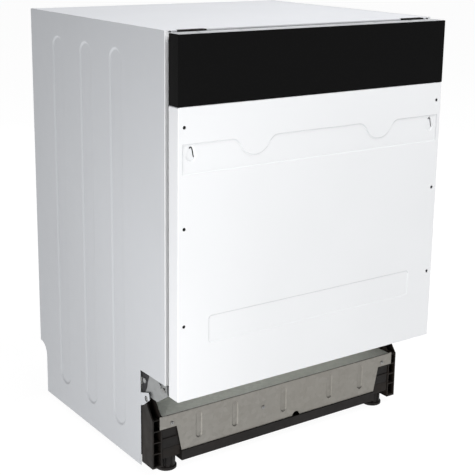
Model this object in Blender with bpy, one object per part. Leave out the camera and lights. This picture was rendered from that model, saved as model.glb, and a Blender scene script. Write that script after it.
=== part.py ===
"""A 600 mm wide, fully integrated dishwasher, built as separate pieces that fit and move.

Millimetres throughout; add_object() turns them into metres. +X is to the machine's right, -Y is its
front, +Z is up. The origin is on the floor, under the middle of the machine.
"""

import math

import bmesh
import bpy
from mathutils import Vector

MM = 0.001

# Overall size
WIDTH = 598.0
DEPTH = 550.0
HEIGHT = 815.0
HALF = WIDTH / 2
FRONT = -DEPTH / 2
BACK = DEPTH / 2

# Clearances
GAP = 0.4
RUN = 1.0

# Cabinet
SHEET = 1.0
CABINET_FRONT = FRONT + 40
SIDE_BOTTOM = 8.0
SIDE_INNER = HALF - SHEET
FRONT_FLANGE = 12.0
REAR_FLANGE = 15.0
TOE_DEPTH = 86.0
TOE_HEIGHT = 197.0
TOE_EDGE = CABINET_FRONT + TOE_DEPTH
REAR_NOTCH_DEPTH = 30.0
REAR_NOTCH_HEIGHT = 116.0
REAR_NOTCH_RADIUS = 26.0
RIB_WIDTH = 46.0
RIB_CENTRES = (166.0, 279.0, 392.0)
RIB_BOTTOM = 57.0
RIB_TOP = 772.0
RIB_DEPTH = 1.4

# Door
DOOR_SIDE = 29.0
DOOR_HALF = HALF - 1
DOOR_BOTTOM = 180.0
DOOR_TOP = HEIGHT - 3
FASCIA_HEIGHT = 117.0
FASCIA_BOTTOM = DOOR_TOP - FASCIA_HEIGHT
DOOR_SHEET = 0.8
DOOR_BACK = FRONT + DOOR_SIDE
PRESSING = 3.0
INNER_HALF = 286.0
INNER_RIM_Y = CABINET_FRONT - 3
INNER_FACE_Y = INNER_RIM_Y + 18
INNER_TOP = DOOR_TOP - 12.5
BULGE = (262.0, 206.0, 772.0)

# Door hinge axis, parallel to X
PIVOT_Y = -225.0
PIVOT_Z = 184.0

# Tub
TUB_HALF = 276.0
TUB_FLOOR = 191.0
TUB_CEILING = 785.0
TUB_BACK = 257.0
TUB_FRONT = CABINET_FRONT + 3.4
TUB_MIDDLE = 14.0
TUB_RADIUS = 34.0

# Base
BASE_BOTTOM = 18.0
BASE_HALF = 294.0
BASE_BACK = 243.0
BASE_FLOOR = 3.0
PLATE_Y = CABINET_FRONT + 45
PLATE_TOP = 115.0
PLATE_BOTTOM = 38.0
FOOT_X = 255.0
FOOT_Y = -165.0
FOOT_RADIUS = 20.0
FOOT_BODY = 17.4
REAR_FOOT_Y = 214.0
POST_INNER = 277.0
POST_OUTER = 297.5

# Racks
RACK_FRONT = -198.0
RACK_BACK = 236.0
LOWER_HALF = 252.0
LOWER_BOTTOM = 228.0
LOWER_TOP = 330.0
UPPER_HALF = 250.0
UPPER_BOTTOM = 500.0
UPPER_TOP = 640.0
RACK_WALL = 4.0
WHEEL_RADIUS = 17.0
WHEEL_X = 226.0
WHEEL_YS = (-125.0, 190.0)
WHEEL_Z = TUB_FLOOR + GAP + WHEEL_RADIUS

# Sump and the things on the tub's floor
SUMP = (75.0, -35.0)
SALT = (-190.0, -60.0)
SUMP_RADIUS = 66.0
HUB_RADIUS = 14.0
ARM_LOWER_Z = 202.0
ARM_UPPER_Z = 472.0
ARM_LENGTH = 200.0

# Controls
BUTTON_XS = {"power": -236.0, "program": -150.0, "delay": 150.0, "start": 236.0}
BUTTON_Y = -256.0
BUTTON_SIZE = (24.0, 12.0)

# Places inside the base
SHELF_BACK = -117.0
SPRING_Y = -140.0
PUMP_Y = 40.0
PUMP_Z = 78.0
VALVE = (-95.0, 82.0)
DRAIN = (-175.0, 82.0)

# Places inside the tub
CUP_HINGE = (-240.0, 604.0)
RINSE = (52.0, 470.0)

# Door latch
LATCH = (-268.0, 798.0)
STRIKER_Y = -261.0

LOOKS = {
    "white_paint": ((0.86, 0.87, 0.88), 0.42, 0.0),
    "grey_paint": ((0.60, 0.62, 0.64), 0.45, 0.0),
    "galvanised": ((0.47, 0.48, 0.45), 0.42, 0.85),
    "stainless": ((0.56, 0.57, 0.58), 0.30, 1.0),
    "black_gloss": ((0.012, 0.012, 0.013), 0.18, 0.0),
    "black_plastic": ((0.030, 0.028, 0.027), 0.55, 0.0),
    "grey_plastic": ((0.25, 0.26, 0.28), 0.50, 0.0),
    "pale_plastic": ((0.78, 0.79, 0.80), 0.45, 0.0),
    "blue_plastic": ((0.05, 0.18, 0.42), 0.45, 0.0),
    "rubber": ((0.020, 0.020, 0.022), 0.75, 0.0),
    "felt": ((0.10, 0.10, 0.10), 0.95, 0.0),
    "coated_wire": ((0.30, 0.32, 0.35), 0.40, 0.0),
    "steel": ((0.55, 0.55, 0.54), 0.35, 1.0),
}


# ---------------------------------------------------------------- shapes


def prism(outline, axis, low, high):
    """(points, faces) of an outline extruded along an axis; its points are the other two coordinates."""

    def point(a, b, along):
        return {"X": (along, a, b), "Y": (a, along, b), "Z": (a, b, along)}[axis]

    n = len(outline)
    points = [point(a, b, low) for a, b in outline] + [point(a, b, high) for a, b in outline]
    sides = [(i, (i + 1) % n, n + (i + 1) % n, n + i) for i in range(n)]
    return points, [tuple(range(n)), tuple(range(n, 2 * n)), *sides]


def box(x0, x1, y0, y1, z0, z1):
    return prism([(x0, y0), (x1, y0), (x1, y1), (x0, y1)], "Z", z0, z1)


def circle(a, b, radius, count=18, start=0.0, turn=360.0):
    """Points round a circle, or along an arc of it, in degrees."""
    closed = abs(turn) >= 360.0
    steps = count if closed else count - 1
    angles = [math.radians(start + turn * i / steps) for i in range(count)]
    return [(a + radius * math.cos(t), b + radius * math.sin(t)) for t in angles]


def cylinder(a, b, radius, axis, low, high, count=18):
    return prism(circle(a, b, radius, count), axis, low, high)


def stadium(a, low, high, radius, count=8):
    """A slot's outline, upright, with round ends: its middle line is at a, from low to high over all."""
    return circle(a, high - radius, radius, count, 0, 180) + circle(a, low + radius, radius, count, 180, 180)


def rounded(a0, a1, b0, b1, radius, count=5):
    """A rectangle's outline with round corners."""
    return (
        circle(a1 - radius, b0 + radius, radius, count, -90, 90)
        + circle(a1 - radius, b1 - radius, radius, count, 0, 90)
        + circle(a0 + radius, b1 - radius, radius, count, 90, 90)
        + circle(a0 + radius, b0 + radius, radius, count, 180, 90)
    )


def loft(rings):
    """(points, faces) of a skin through rings of equal length, capped at both ends."""
    n = len(rings[0])
    points = [p for ring in rings for p in ring]
    faces = [tuple(range(n)), tuple(range(len(points) - n, len(points)))]
    for k in range(len(rings) - 1):
        near = k * n
        far = near + n
        faces += [(near + i, near + (i + 1) % n, far + (i + 1) % n, far + i) for i in range(n)]
    return points, faces


def frustum(half, low, high, radius, y0, y1, slope):
    """A block with round corners whose sides lean in by slope from y0 to y1."""
    wide = rounded(-half, half, low, high, radius)
    narrow = rounded(-half + slope, half - slope, low + slope, high - slope, radius)
    return loft([[(a, y0, b) for a, b in wide], [(a, y1, b) for a, b in narrow]])


def mirrored(shape):
    """The same shape on the other side of the machine."""
    points, faces = shape
    return [(-x, y, z) for x, y, z in points], faces


# ---------------------------------------------------------------- objects


def look(name):
    found = bpy.data.materials.get(name)
    if found:
        return found
    colour, roughness, metallic = LOOKS[name]
    made = bpy.data.materials.new(name)
    made.use_nodes = True
    shader = made.node_tree.nodes["Principled BSDF"]
    shader.inputs["Base Color"].default_value = (*colour, 1.0)
    shader.inputs["Roughness"].default_value = roughness
    shader.inputs["Metallic"].default_value = metallic
    made.diffuse_color = (*colour, 1.0)
    return made


def add_object(name, shape, origin=(0, 0, 0)):
    """A mesh object from a shape in millimetres, with its origin at a point of the machine."""
    points, faces = shape
    mesh = bpy.data.meshes.new(name)
    mesh.from_pydata([(Vector(p) - Vector(origin)) * MM for p in points], [], faces)
    work = bmesh.new()
    work.from_mesh(mesh)
    bmesh.ops.recalc_face_normals(work, faces=work.faces)
    work.to_mesh(mesh)
    work.free()
    obj = bpy.data.objects.new(name, mesh)
    obj.location = Vector(origin) * MM
    bpy.context.scene.collection.objects.link(obj)
    return obj


def add_helper(obj, number, shape, operation):
    """A hidden block that a Boolean adds to obj, or cuts from it."""
    helper = add_object(f"{obj.name}_helper_{number}", shape)
    helper.hide_render = True
    helper.display_type = "WIRE"
    boolean = obj.modifiers.new(f"{operation.lower()}_{number}", "BOOLEAN")
    boolean.operation = operation
    boolean.solver = "EXACT"
    boolean.object = helper


def piece(name, material, solids, holes=(), late=(), late_holes=(), origin=(0, 0, 0), parent=None):
    """One sub-part: solids joined and holes cut, then the late solids joined and the late holes cut."""
    obj = add_object(name, solids[0], origin)
    steps = [("UNION", s) for s in solids[1:]] + [("DIFFERENCE", s) for s in holes]
    steps += [("UNION", s) for s in late] + [("DIFFERENCE", s) for s in late_holes]
    for number, (operation, shape) in enumerate(steps):
        add_helper(obj, number, shape, operation)
    obj.data.materials.append(look(material))
    obj.data.set_sharp_from_angle(angle=math.radians(35))
    if parent:
        hang(obj, parent)
    return obj


def hang(obj, parent):
    """Parent obj without moving it."""
    bpy.context.view_layer.update()
    obj.parent = parent
    obj.matrix_parent_inverse = parent.matrix_world.inverted()


def pair(name, material, solids, holes=(), late=(), late_holes=(), origin=(0, 0, 0), parent=None):
    """The right-hand piece and its mirror image on the left."""
    x, y, z = origin
    piece(f"right_{name}", material, solids, holes, late, late_holes, origin, parent)
    left = [[mirrored(s) for s in shapes] for shapes in (solids, holes, late, late_holes)]
    piece(f"left_{name}", material, *left, (-x, y, z), parent)


def axis_empty(name, point, parent=None):
    """An empty on a joint's axis, which carries the pieces that move with it."""
    empty = bpy.data.objects.new(name, None)
    empty.location = Vector(point) * MM
    empty.empty_display_size = 0.02
    bpy.context.scene.collection.objects.link(empty)
    if parent:
        hang(empty, parent)
    return empty


# ---------------------------------------------------------------- cabinet


def side_outline():
    """The side panel's outline in Y and Z, with the toe recess, its screw tab and the rear notch."""
    tab = [
        (TOE_EDGE, 128),
        (TOE_EDGE - 11, 133),
        (TOE_EDGE - 32, 150),
        (TOE_EDGE - 29, 163),
        (TOE_EDGE, 153),
    ]
    corner = (BACK - REAR_NOTCH_DEPTH + REAR_NOTCH_RADIUS, REAR_NOTCH_HEIGHT - REAR_NOTCH_RADIUS)
    notch = circle(*corner, REAR_NOTCH_RADIUS, 7, 180, -90)
    return [
        (TOE_EDGE, SIDE_BOTTOM),
        *tab,
        (TOE_EDGE, TOE_HEIGHT),
        (CABINET_FRONT, TOE_HEIGHT),
        (CABINET_FRONT, HEIGHT),
        (BACK, HEIGHT),
        (BACK, REAR_NOTCH_HEIGHT),
        *reversed(notch),
        (BACK - REAR_NOTCH_DEPTH, SIDE_BOTTOM),
    ]


def side_panels():
    skin = prism(side_outline(), "X", SIDE_INNER, HALF)
    lip = SHEET / 2
    front_flange = box(
        HALF - FRONT_FLANGE, SIDE_INNER + lip, CABINET_FRONT, CABINET_FRONT + SHEET, TOE_HEIGHT, HEIGHT - 2
    )
    rear_flange = box(
        HALF - REAR_FLANGE, SIDE_INNER + lip, BACK - SHEET, BACK, REAR_NOTCH_HEIGHT, HEIGHT - 2
    )
    ribs = [CABINET_FRONT + y for y in RIB_CENTRES]
    radius = RIB_WIDTH / 2
    backs = [
        prism(stadium(y, RIB_BOTTOM, RIB_TOP, radius), "X", SIDE_INNER - RIB_DEPTH, SIDE_INNER + lip)
        for y in ribs
    ]
    inset = SHEET
    fronts = [
        prism(
            stadium(y, RIB_BOTTOM + inset, RIB_TOP - inset, radius - inset), "X", HALF - RIB_DEPTH, HALF + 1
        )
        for y in ribs
    ]
    screw = cylinder(TOE_EDGE - 22, 155, 2.2, "X", SIDE_INNER - 1, HALF + 1, 12)
    pair("side_panel", "white_paint", [skin, front_flange, rear_flange, *backs], [*fronts, screw])


def top_panel():
    half = SIDE_INNER - GAP
    skin = box(-half, half, CABINET_FRONT, BACK - SHEET - GAP, HEIGHT - SHEET, HEIGHT)
    lip_half = HALF - FRONT_FLANGE - GAP
    lip = box(
        -lip_half, lip_half, CABINET_FRONT, CABINET_FRONT + SHEET, HEIGHT - 14, HEIGHT - SHEET / 2
    )
    slots = [
        box(at - 27.5, at + 27.5, CABINET_FRONT - 1, CABINET_FRONT + 7, HEIGHT - 6, HEIGHT + 1)
        for at in (-247.5, 247.5)
    ]
    striker_slot = box(-12, 12, CABINET_FRONT - 1, CABINET_FRONT + 1.5, HEIGHT - 15, HEIGHT - 9)
    piece("top_panel", "white_paint", [skin, lip], [*slots, striker_slot])


def worktop_brackets():
    """Black tabs in the top panel's front edge that screw up into a worktop."""
    tab = box(247.5 - 27, 247.5 + 27, CABINET_FRONT - 5, CABINET_FRONT + 6.5, HEIGHT - 2.6, HEIGHT)
    hole = cylinder(247.5, CABINET_FRONT - 1, 1.8, "Z", HEIGHT - 5, HEIGHT + 1, 12)
    pair("worktop_bracket", "black_plastic", [tab], [hole])


def rear_panel():
    half = HALF - REAR_FLANGE - GAP
    low, high = REAR_NOTCH_HEIGHT - 4, HEIGHT - SHEET - 1
    skin = box(-half, half, BACK - 2.5, BACK - 1.5, low, high)
    beads = []
    hollows = []
    for z in (250, 400, 550, 700):
        outer = [(b, a) for a, b in stadium(z, -220, 220, 14, 6)]
        inner = [(b, a) for a, b in stadium(z, -219, 219, 13, 6)]
        beads.append(prism(outer, "Y", BACK - 4.5, BACK - 2))
        hollows.append(prism(inner, "Y", BACK - 3.5, BACK))
    piece("rear_panel", "galvanised", [skin, *beads], hollows)


def front_crossbar():
    """The rail under the top panel's front edge, with the bar that the door's latch grips."""
    half = HALF - FRONT_FLANGE - 1
    y = CABINET_FRONT + 1.5
    lip = box(-half, half, y, y + SHEET, 801, HEIGHT - SHEET - GAP)
    top = box(-half, half, y, y + 26, HEIGHT - 2 * SHEET - GAP, HEIGHT - SHEET - GAP)
    striker = box(-7, 7, STRIKER_Y - 5, y + SHEET / 2, 801.5, 804)
    window = box(-4, 4, STRIKER_Y - 1, STRIKER_Y + 6.5, 801, 805)
    slots = [
        box(at - 29, at + 29, y - 1, CABINET_FRONT + 8, HEIGHT - 6, HEIGHT) for at in (-247.5, 247.5)
    ]
    piece("front_crossbar", "galvanised", [lip, top, striker], [window, *slots])


# ---------------------------------------------------------------- tub


def tub():
    """A stainless box, open to the front, with a flange round its mouth and holes in its floor."""
    low, high = TUB_FLOOR - SHEET, TUB_CEILING + SHEET
    outside = rounded(-TUB_HALF - SHEET, TUB_HALF + SHEET, low, high, TUB_RADIUS)
    inside = rounded(-TUB_HALF, TUB_HALF, TUB_FLOOR, TUB_CEILING, TUB_RADIUS - SHEET)
    mouth = rounded(-INNER_HALF - 0.5, INNER_HALF + 0.5, 187, 800, 12)
    flange = prism(mouth, "Y", TUB_FRONT - SHEET, TUB_FRONT)
    shell = prism(outside, "Y", TUB_FRONT - SHEET / 2, TUB_BACK + SHEET)
    hollow = prism(inside, "Y", TUB_FRONT - 2 * SHEET, TUB_BACK)
    floor = (TUB_FLOOR - 5, TUB_FLOOR + 2)
    holes = [
        cylinder(*SUMP, SUMP_RADIUS - 6, "Z", *floor, 24),
        cylinder(0, TUB_MIDDLE, HUB_RADIUS + RUN, "Z", *floor),
        cylinder(*SALT, 26, "Z", *floor),
    ]
    piece("tub", "stainless", [shell, flange], [hollow, *holes])


def tub_gasket():
    """The rubber bulb up both sides of the tub's mouth and across its top."""
    y0, y1 = INNER_RIM_Y + GAP, TUB_FRONT - SHEET - GAP
    outer = rounded(-285.5, 285.5, 192, 796, 26)
    inner = rounded(-277.5, 277.5, 150, 788, 20)
    open_end = box(-290, 290, y0 - 2, y1 + 2, 140, 200)
    piece("tub_gasket", "rubber", [prism(outer, "Y", y0, y1)], [prism(inner, "Y", y0 - 1, y1 + 1), open_end])


def rack_rails():
    """Channels on the tub's sides in which the upper rack's runners slide."""
    bar = box(258, TUB_HALF - 0.5, RACK_FRONT - 14, RACK_BACK + 6, 536, 560)
    groove = box(250, 271, RACK_FRONT - 20, RACK_BACK + 10, 541, 555)
    pair("rack_rail", "stainless", [bar], [groove])


def spray_feed_pipe():
    """The feed hub through the tub's floor, the flat duct to the back, the riser and the ceiling nozzle."""
    y = TUB_MIDDLE
    hub = cylinder(0, y, HUB_RADIUS - 0.4, "Z", 152, 200)
    spigot = cylinder(0, y, 6, "Z", 199, ARM_LOWER_Z + 16)
    cap = cylinder(0, y, 10, "Z", ARM_LOWER_Z + 14 + GAP, ARM_LOWER_Z + 19)
    duct = box(-11, 11, y, TUB_BACK - 2, TUB_FLOOR + GAP, 200)
    upright = box(-11, 11, TUB_BACK - 14, TUB_BACK - 1, TUB_FLOOR + GAP, TUB_CEILING - 3)
    along = box(-11, 11, y, TUB_BACK - 2, TUB_CEILING - 15, TUB_CEILING - 3)
    port = cylinder(0, UPPER_BOTTOM - 3, 9, "Y", RACK_BACK + 2, TUB_BACK - 10)
    nozzle = cylinder(0, y, 30, "Z", TUB_CEILING - 27, TUB_CEILING - 14)
    bore = cylinder(0, y, 9, "Z", 150, 192)
    solids = [hub, spigot, cap, duct, upright, along, port, nozzle]
    piece("spray_feed_pipe", "grey_plastic", solids, [bore])


# ---------------------------------------------------------------- base


def base_tray():
    """The black plastic base: a tray with housings for the front feet and a boss for the rear one."""
    front = PLATE_Y - 2
    notch = FOOT_Y + 35
    t = BASE_FLOOR

    def outline(inset):
        half, wide = 237 - inset, BASE_HALF - inset
        y0, y1, y2 = front + inset, notch + inset, BASE_BACK - inset
        right = [(half, y0), (half, y1), (wide, y1), (wide, y2)]
        return right + [(-x, y) for x, y in reversed(right)]

    tray = prism(outline(0), "Z", BASE_BOTTOM, 60)
    pocket = prism(outline(t), "Z", BASE_BOTTOM + t, 90)
    late = [box(-BASE_HALF, BASE_HALF, BASE_BACK - t, BASE_BACK, 40, 108)]
    cuts = [box(-240, 240, front - 1, front + t + 1, PLATE_BOTTOM - GAP, 99)]
    for sign in (-1, 1):
        x0, x1 = sorted((sign * 236, sign * 276))
        late.append(box(x0, x1, FOOT_Y - 22, FOOT_Y + 37, 48, 91))
        cuts.append(cylinder(sign * FOOT_X, FOOT_Y, 9, "Z", 40, 99))
        x0, x1 = sorted((sign * 284, sign * BASE_HALF))
        late.append(box(x0, x1, SPRING_Y - 7, notch + 1, 26, 35))
    late.append(cylinder(0, REAR_FOOT_Y, 16, "Z", BASE_BOTTOM + 1, 70))
    cuts.append(cylinder(0, REAR_FOOT_Y, 9, "Z", 10, 80))
    cuts.append(cylinder(VALVE[0], VALVE[1], 13, "Y", BASE_BACK - 10, BASE_BACK + 5))
    cuts.append(cylinder(DRAIN[0], DRAIN[1], 13, "Y", BASE_BACK - 10, BASE_BACK + 5))
    piece("base_tray", "black_plastic", [tray], [pocket], late, cuts)


def plinth_plate():
    """The galvanised plate over the plinth, with five pressed ribs, and the shelf and riser behind it."""
    low, high = PLATE_BOTTOM, PLATE_TOP
    notch = circle(31, low, 9, 9, 180, -180)
    outline = [
        (-236, low),
        *notch,
        (236, low),
        (247, 90),
        (283, 90),
        (283, high),
        (-283, high),
        (-283, 90),
        (-247, 90),
    ]
    front = prism(outline, "Y", PLATE_Y, PLATE_Y + SHEET)
    shelf = box(-276, 276, PLATE_Y, SHELF_BACK + SHEET, high - SHEET, high)
    ledge = box(-297, 297, SHELF_BACK - 14, SHELF_BACK + SHEET, high - SHEET, high)
    riser = box(-297, 297, SHELF_BACK, SHELF_BACK + SHEET, high - SHEET / 2, 178)
    ribs = (-198, -116, 0, 116, 198)
    backs = [prism(stadium(x, 55, 105, 6.5, 6), "Y", PLATE_Y + SHEET / 2, PLATE_Y + 2.4) for x in ribs]
    pressed = [prism(stadium(x, 56, 104, 5.5, 6), "Y", PLATE_Y - 1, PLATE_Y + 1.4) for x in ribs]
    piece("plinth_plate", "galvanised", [front, shelf, ledge, riser, *backs], pressed)


def front_posts():
    """A ribbed plastic channel in each front corner, from the floor to the hinge bracket."""
    y0, y1 = PLATE_Y + 1.4, TOE_EDGE - GAP
    outline = [(y0, 15), (y1, 15), (y1, 150), (y1 - 8, 150), (y0, 110)]
    body = prism(outline, "X", POST_INNER, POST_OUTER)
    levels = (18, 44, 66, 88, 110, 147)
    cells = [
        box(POST_INNER + 3, POST_OUTER - 3, y0 - 1, y1 - 3, z + 1.2, levels[i + 1] - 1.2)
        for i, z in enumerate(levels[:-1])
    ]
    pair("front_post", "black_plastic", [body], cells)


def hinge_brackets():
    """The steel plate on each side that carries the door's hinge pin."""
    outline = [(-233, 195.5), (-233, 174), (-201, 153), (-150, 153), (-150, 195.5)]
    plate = prism(outline, "X", 292.5, 295)
    pin = cylinder(PIVOT_Y, PIVOT_Z, 4, "X", 285, 293.5, 20)
    head = cylinder(PIVOT_Y, PIVOT_Z, 6, "X", 284.5, 287.8, 20)
    bosses = [cylinder(y, z, 5, "X", 294, 297.6, 12) for y, z in ((-212, 188), (-160, 180))]
    pair("hinge_bracket", "galvanised", [plate, pin, head, *bosses])


def door_springs():
    """The tension spring that balances the door, from a lug on the base up to the hinge arm's tail."""
    x, y = 290, SPRING_Y
    coil = cylinder(x, y, 5, "Z", 46, 166, 16)
    low = cylinder(x, y, 1.6, "Z", 35 + GAP, 47, 8)
    high = cylinder(x, y, 1.6, "Z", 165, PIVOT_Z - 6 - GAP, 8)
    pair("door_spring", "steel", [coil, low, high])


def adjustable_foot(name, x, y, body_top, top):
    """A foot's disc, its body and its threaded stem; its slide runs down Z."""
    disc = cylinder(x, y, FOOT_RADIUS, "Z", 0, 6, 24)
    body = cylinder(x, y, FOOT_BODY, "Z", 5, body_top, 24)
    stem = cylinder(x, y, 7.5, "Z", body_top - 1, top, 16)
    piece(name, "black_plastic", [disc, body, stem], origin=(x, y, 0))


# ---------------------------------------------------------------- water system


def sump():
    """The cup under the tub's floor, with its neck and the stub to the circulation pump."""
    x, y = SUMP
    cup = cylinder(x, y, SUMP_RADIUS, "Z", 118, TUB_FLOOR - SHEET - GAP, 24)
    neck = cylinder(x, y, 20, "Z", 60, 119)
    stub = cylinder(x, PUMP_Z, 14, "Y", y, 0)
    hollow = cylinder(x, y, SUMP_RADIUS - 4, "Z", 122, TUB_FLOOR, 24)
    throat = cylinder(x, y, 16, "Z", 64, 123)
    bore = cylinder(x, PUMP_Z, 11, "Y", y, 5)
    piece("sump", "grey_plastic", [cup, neck, stub], [hollow, throat, bore])


def circulation_pump():
    x, _ = SUMP
    motor = cylinder(PUMP_Y, PUMP_Z, 34, "X", -128, -19)
    volute = cylinder(PUMP_Y, PUMP_Z, 42, "X", -20, 22, 22)
    outlet = cylinder(0, TUB_MIDDLE, 12, "Z", PUMP_Z, 152 - GAP)
    suction = cylinder(PUMP_Y, PUMP_Z, 15, "X", 21, x + 14)
    elbow = cylinder(x, PUMP_Z, 13.8, "Y", GAP, PUMP_Y)
    mouth = cylinder(x, PUMP_Z, 11, "Y", -2, PUMP_Y - 6)
    throat = cylinder(0, TUB_MIDDLE, 9, "Z", PUMP_Z + 20, 160)
    piece("circulation_pump", "black_plastic", [motor, volute, outlet, suction, elbow], [mouth, throat])


def drain_pump():
    x, y = SUMP
    volute = cylinder(y, PUMP_Z, 26, "X", x + 21, x + 50)
    motor = cylinder(y, PUMP_Z, 18, "X", x + 49, x + 84)
    spigot = cylinder(x + 38, PUMP_Z + 12, 8, "Y", y, y + 48, 16)
    bore = cylinder(x + 38, PUMP_Z + 12, 6, "Y", y + 10, y + 50, 16)
    piece("drain_pump", "grey_plastic", [volute, motor, spigot], [bore])


def water_softener():
    """The salt tank, with its threaded neck up to the hole in the tub's floor."""
    x, y = SALT
    tank = box(-242, -136, -108, 6, 66, 176)
    neck = cylinder(x, y, 30, "Z", 175, TUB_FLOOR - SHEET - GAP, 24)
    well = cylinder(x, y, 24, "Z", 80, TUB_FLOOR + 5, 24)
    piece("water_softener", "pale_plastic", [tank, neck], [well])


def salt_cap():
    x, y = SALT
    disc = cylinder(x, y, 31, "Z", TUB_FLOOR + GAP, 196, 24)
    plug = cylinder(x, y, 23, "Z", 178, 193, 24)
    grip = box(x - 22, x + 22, y - 4, y + 4, 195, 200)
    piece("salt_cap", "black_plastic", [disc, plug, grip], origin=(x, y, 195))


def filter_plate():
    x, y = SUMP
    disc = cylinder(x, y, 72, "Z", TUB_FLOOR + GAP, TUB_FLOOR + 2.4, 24)
    hole = cylinder(x, y, 38, "Z", TUB_FLOOR - 3, TUB_FLOOR + 5, 22)
    piece("filter_plate", "stainless", [disc], [hole])


def filter_cup():
    """The filter that turns a quarter to lift out of the sump."""
    x, y = SUMP
    body = cylinder(x, y, 36.5, "Z", 136, 196, 22)
    well = cylinder(x, y, 33.5, "Z", 140, 200, 22)
    grip = box(x - 34, x + 34, y - 3, y + 3, 188, 200)
    windows = [box(x - 50, x + 50, y - 14 + d, y + d, 148, 172) for d in (-7, 21)]
    piece("filter_cup", "grey_plastic", [body], [well, *windows], [grip], origin=(x, y, 190))


def inlet_valve():
    x, z = VALVE
    body = box(x - 16, x + 16, 190, 226, z - 22, z + 22)
    spigot = cylinder(x, z, 12, "Y", 225, 262)
    bore = cylinder(x, z, 8, "Y", 232, 265)
    coil = cylinder(x, 205, 11, "Z", z + 21, z + 46, 16)
    piece("inlet_valve", "pale_plastic", [body, spigot, coil], [bore])


def drain_spigot():
    x, z = DRAIN
    pipe = cylinder(x, z, 12, "Y", 206, 264)
    collar = cylinder(x, z, 17, "Y", 222, BASE_BACK - BASE_FLOOR - GAP)
    bore = cylinder(x, z, 9, "Y", 203, 268)
    piece("drain_spigot", "grey_plastic", [pipe, collar], [bore])


def terminal_box():
    """The closed box in which the mains lead is wired, with its empty gland."""
    case = box(176, 246, 150, 222, 26, 84)
    gland = cylinder(211, 60, 9, "Y", 221, 236, 16)
    bore = cylinder(211, 60, 5, "Y", 200, 240, 16)
    piece("terminal_box", "grey_plastic", [case, gland], [bore])


def air_break():
    """The flat water chamber between the tub and the left side panel."""
    case = box(-294, -280, -60, 150, 250, 610)
    foot = box(-292, -282, 20, 50, 180, 251)
    cells = [box(-299, -292, -50 + 50 * i, -14 + 50 * i, 262, 598) for i in range(4)]
    piece("air_break", "pale_plastic", [case, foot], cells)


def spray_arm(name, z, turn):
    """A flat arm with a domed middle, two jets cut in each wing and a bore for its spigot."""
    y = TUB_MIDDLE
    length = ARM_LENGTH
    wings = [
        (-length, y - 9),
        (-60, y - 20),
        (60, y - 24),
        (length, y - 14),
        (length, y + 9),
        (60, y + 20),
        (-60, y + 24),
        (-length, y + 14),
    ]
    blade = prism(wings, "Z", z + 3, z + 12)
    hub = cylinder(0, y, 26, "Z", z, z + 14)
    bore = cylinder(0, y, 6.6, "Z", z - 2, z + 16)
    jets = [
        cylinder(turn * x, y + 2, 2.5, "Z", z + 9, z + 14, 8) for x in (-178, -142, -106, 90, 124, 158)
    ]
    piece(name, "grey_plastic", [blade, hub], [bore, *jets], origin=(0, y, z))


# ---------------------------------------------------------------- racks


def cells(low, high, count, bar):
    """Openings between evenly spaced bars, as (start, end) pairs; there is a bar at each end."""
    pitch = (high - low - bar) / count
    return [(low + bar + pitch * i, low + pitch * (i + 1)) for i in range(count)]


def basket(half, front, back, bottom, top, across, along, bar):
    """(solids, holes, late holes) for a rack: a tray with a lattice for its floor and its four sides."""
    outer = box(-half, half, front, back, bottom, top)
    inner = box(-half + bar, half - bar, front + bar, back - bar, bottom + bar, top + 5)
    xs = cells(-half, half, across, bar)
    ys = cells(front, back, along, bar)
    zs = cells(bottom, top, 1, bar)
    floor = [box(x0, x1, y0, y1, bottom - 2, bottom + bar + 1) for x0, x1 in xs for y0, y1 in ys]
    ends = []
    sides = []
    for z0, z1 in zs:
        ends += [box(x0, x1, y, y + 3 * bar, z0, z1) for x0, x1 in xs for y in (front - bar, back - 2 * bar)]
        sides += [box(x, x + 3 * bar, y0, y1, z0, z1) for y0, y1 in ys for x in (-half - bar, half - 2 * bar)]
    return [outer], [inner], [merged(floor), merged(ends), merged(sides)]


def merged(shapes):
    """Separate shapes as one mesh."""
    points, faces = [], []
    for some_points, some_faces in shapes:
        start = len(points)
        points += some_points
        faces += [tuple(start + i for i in face) for face in some_faces]
    return points, faces


def lower_rack(parent):
    """The plate rack, on stubs for its four wheels."""
    solids, holes, through = basket(
        LOWER_HALF, RACK_FRONT, RACK_BACK, LOWER_BOTTOM, LOWER_TOP, 4, 4, RACK_WALL
    )
    stubs = []
    for y in WHEEL_YS:
        for sign in (-1, 1):
            x0, x1 = sorted((sign * (WHEEL_X - 10), sign * (WHEEL_X - 6)))
            stubs.append(box(x0, x1, y - 7, y + 7, WHEEL_Z - 7, LOWER_BOTTOM + 2))
            x0, x1 = sorted((sign * (WHEEL_X - 8), sign * (WHEEL_X + 6.4)))
            stubs.append(cylinder(y, WHEEL_Z, 3, "X", x0, x1, 12))
            x0, x1 = sorted((sign * (WHEEL_X + 4.6), sign * (WHEEL_X + 6.6)))
            stubs.append(cylinder(y, WHEEL_Z, 5, "X", x0, x1, 12))
            runner = (sign * (WHEEL_X - 12), sign * (WHEEL_X + 2))
            stubs.append(box(*sorted(runner), y - 45, y + 45, LOWER_BOTTOM, LOWER_BOTTOM + RACK_WALL))
    piece("lower_rack", "coated_wire", solids, holes, [], through, parent=parent)
    rack = bpy.data.objects["lower_rack"]
    for number, shape in enumerate(stubs):
        add_helper(rack, 100 + number, shape, "UNION")


def rack_wheels(parent):
    for y, end in zip(WHEEL_YS, ("front", "rear")):
        for sign, side in ((1, "right"), (-1, "left")):
            x0, x1 = sorted((sign * (WHEEL_X - 4), sign * (WHEEL_X + 4)))
            tyre = cylinder(y, WHEEL_Z, WHEEL_RADIUS, "X", x0, x1, 24)
            bore = cylinder(y, WHEEL_Z, 3.4, "X", x0 - 2, x1 + 2, 12)
            origin = (sign * WHEEL_X, y, WHEEL_Z)
            piece(f"{end}_{side}_wheel", "grey_plastic", [tyre], [bore], origin=origin, parent=parent)


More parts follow.
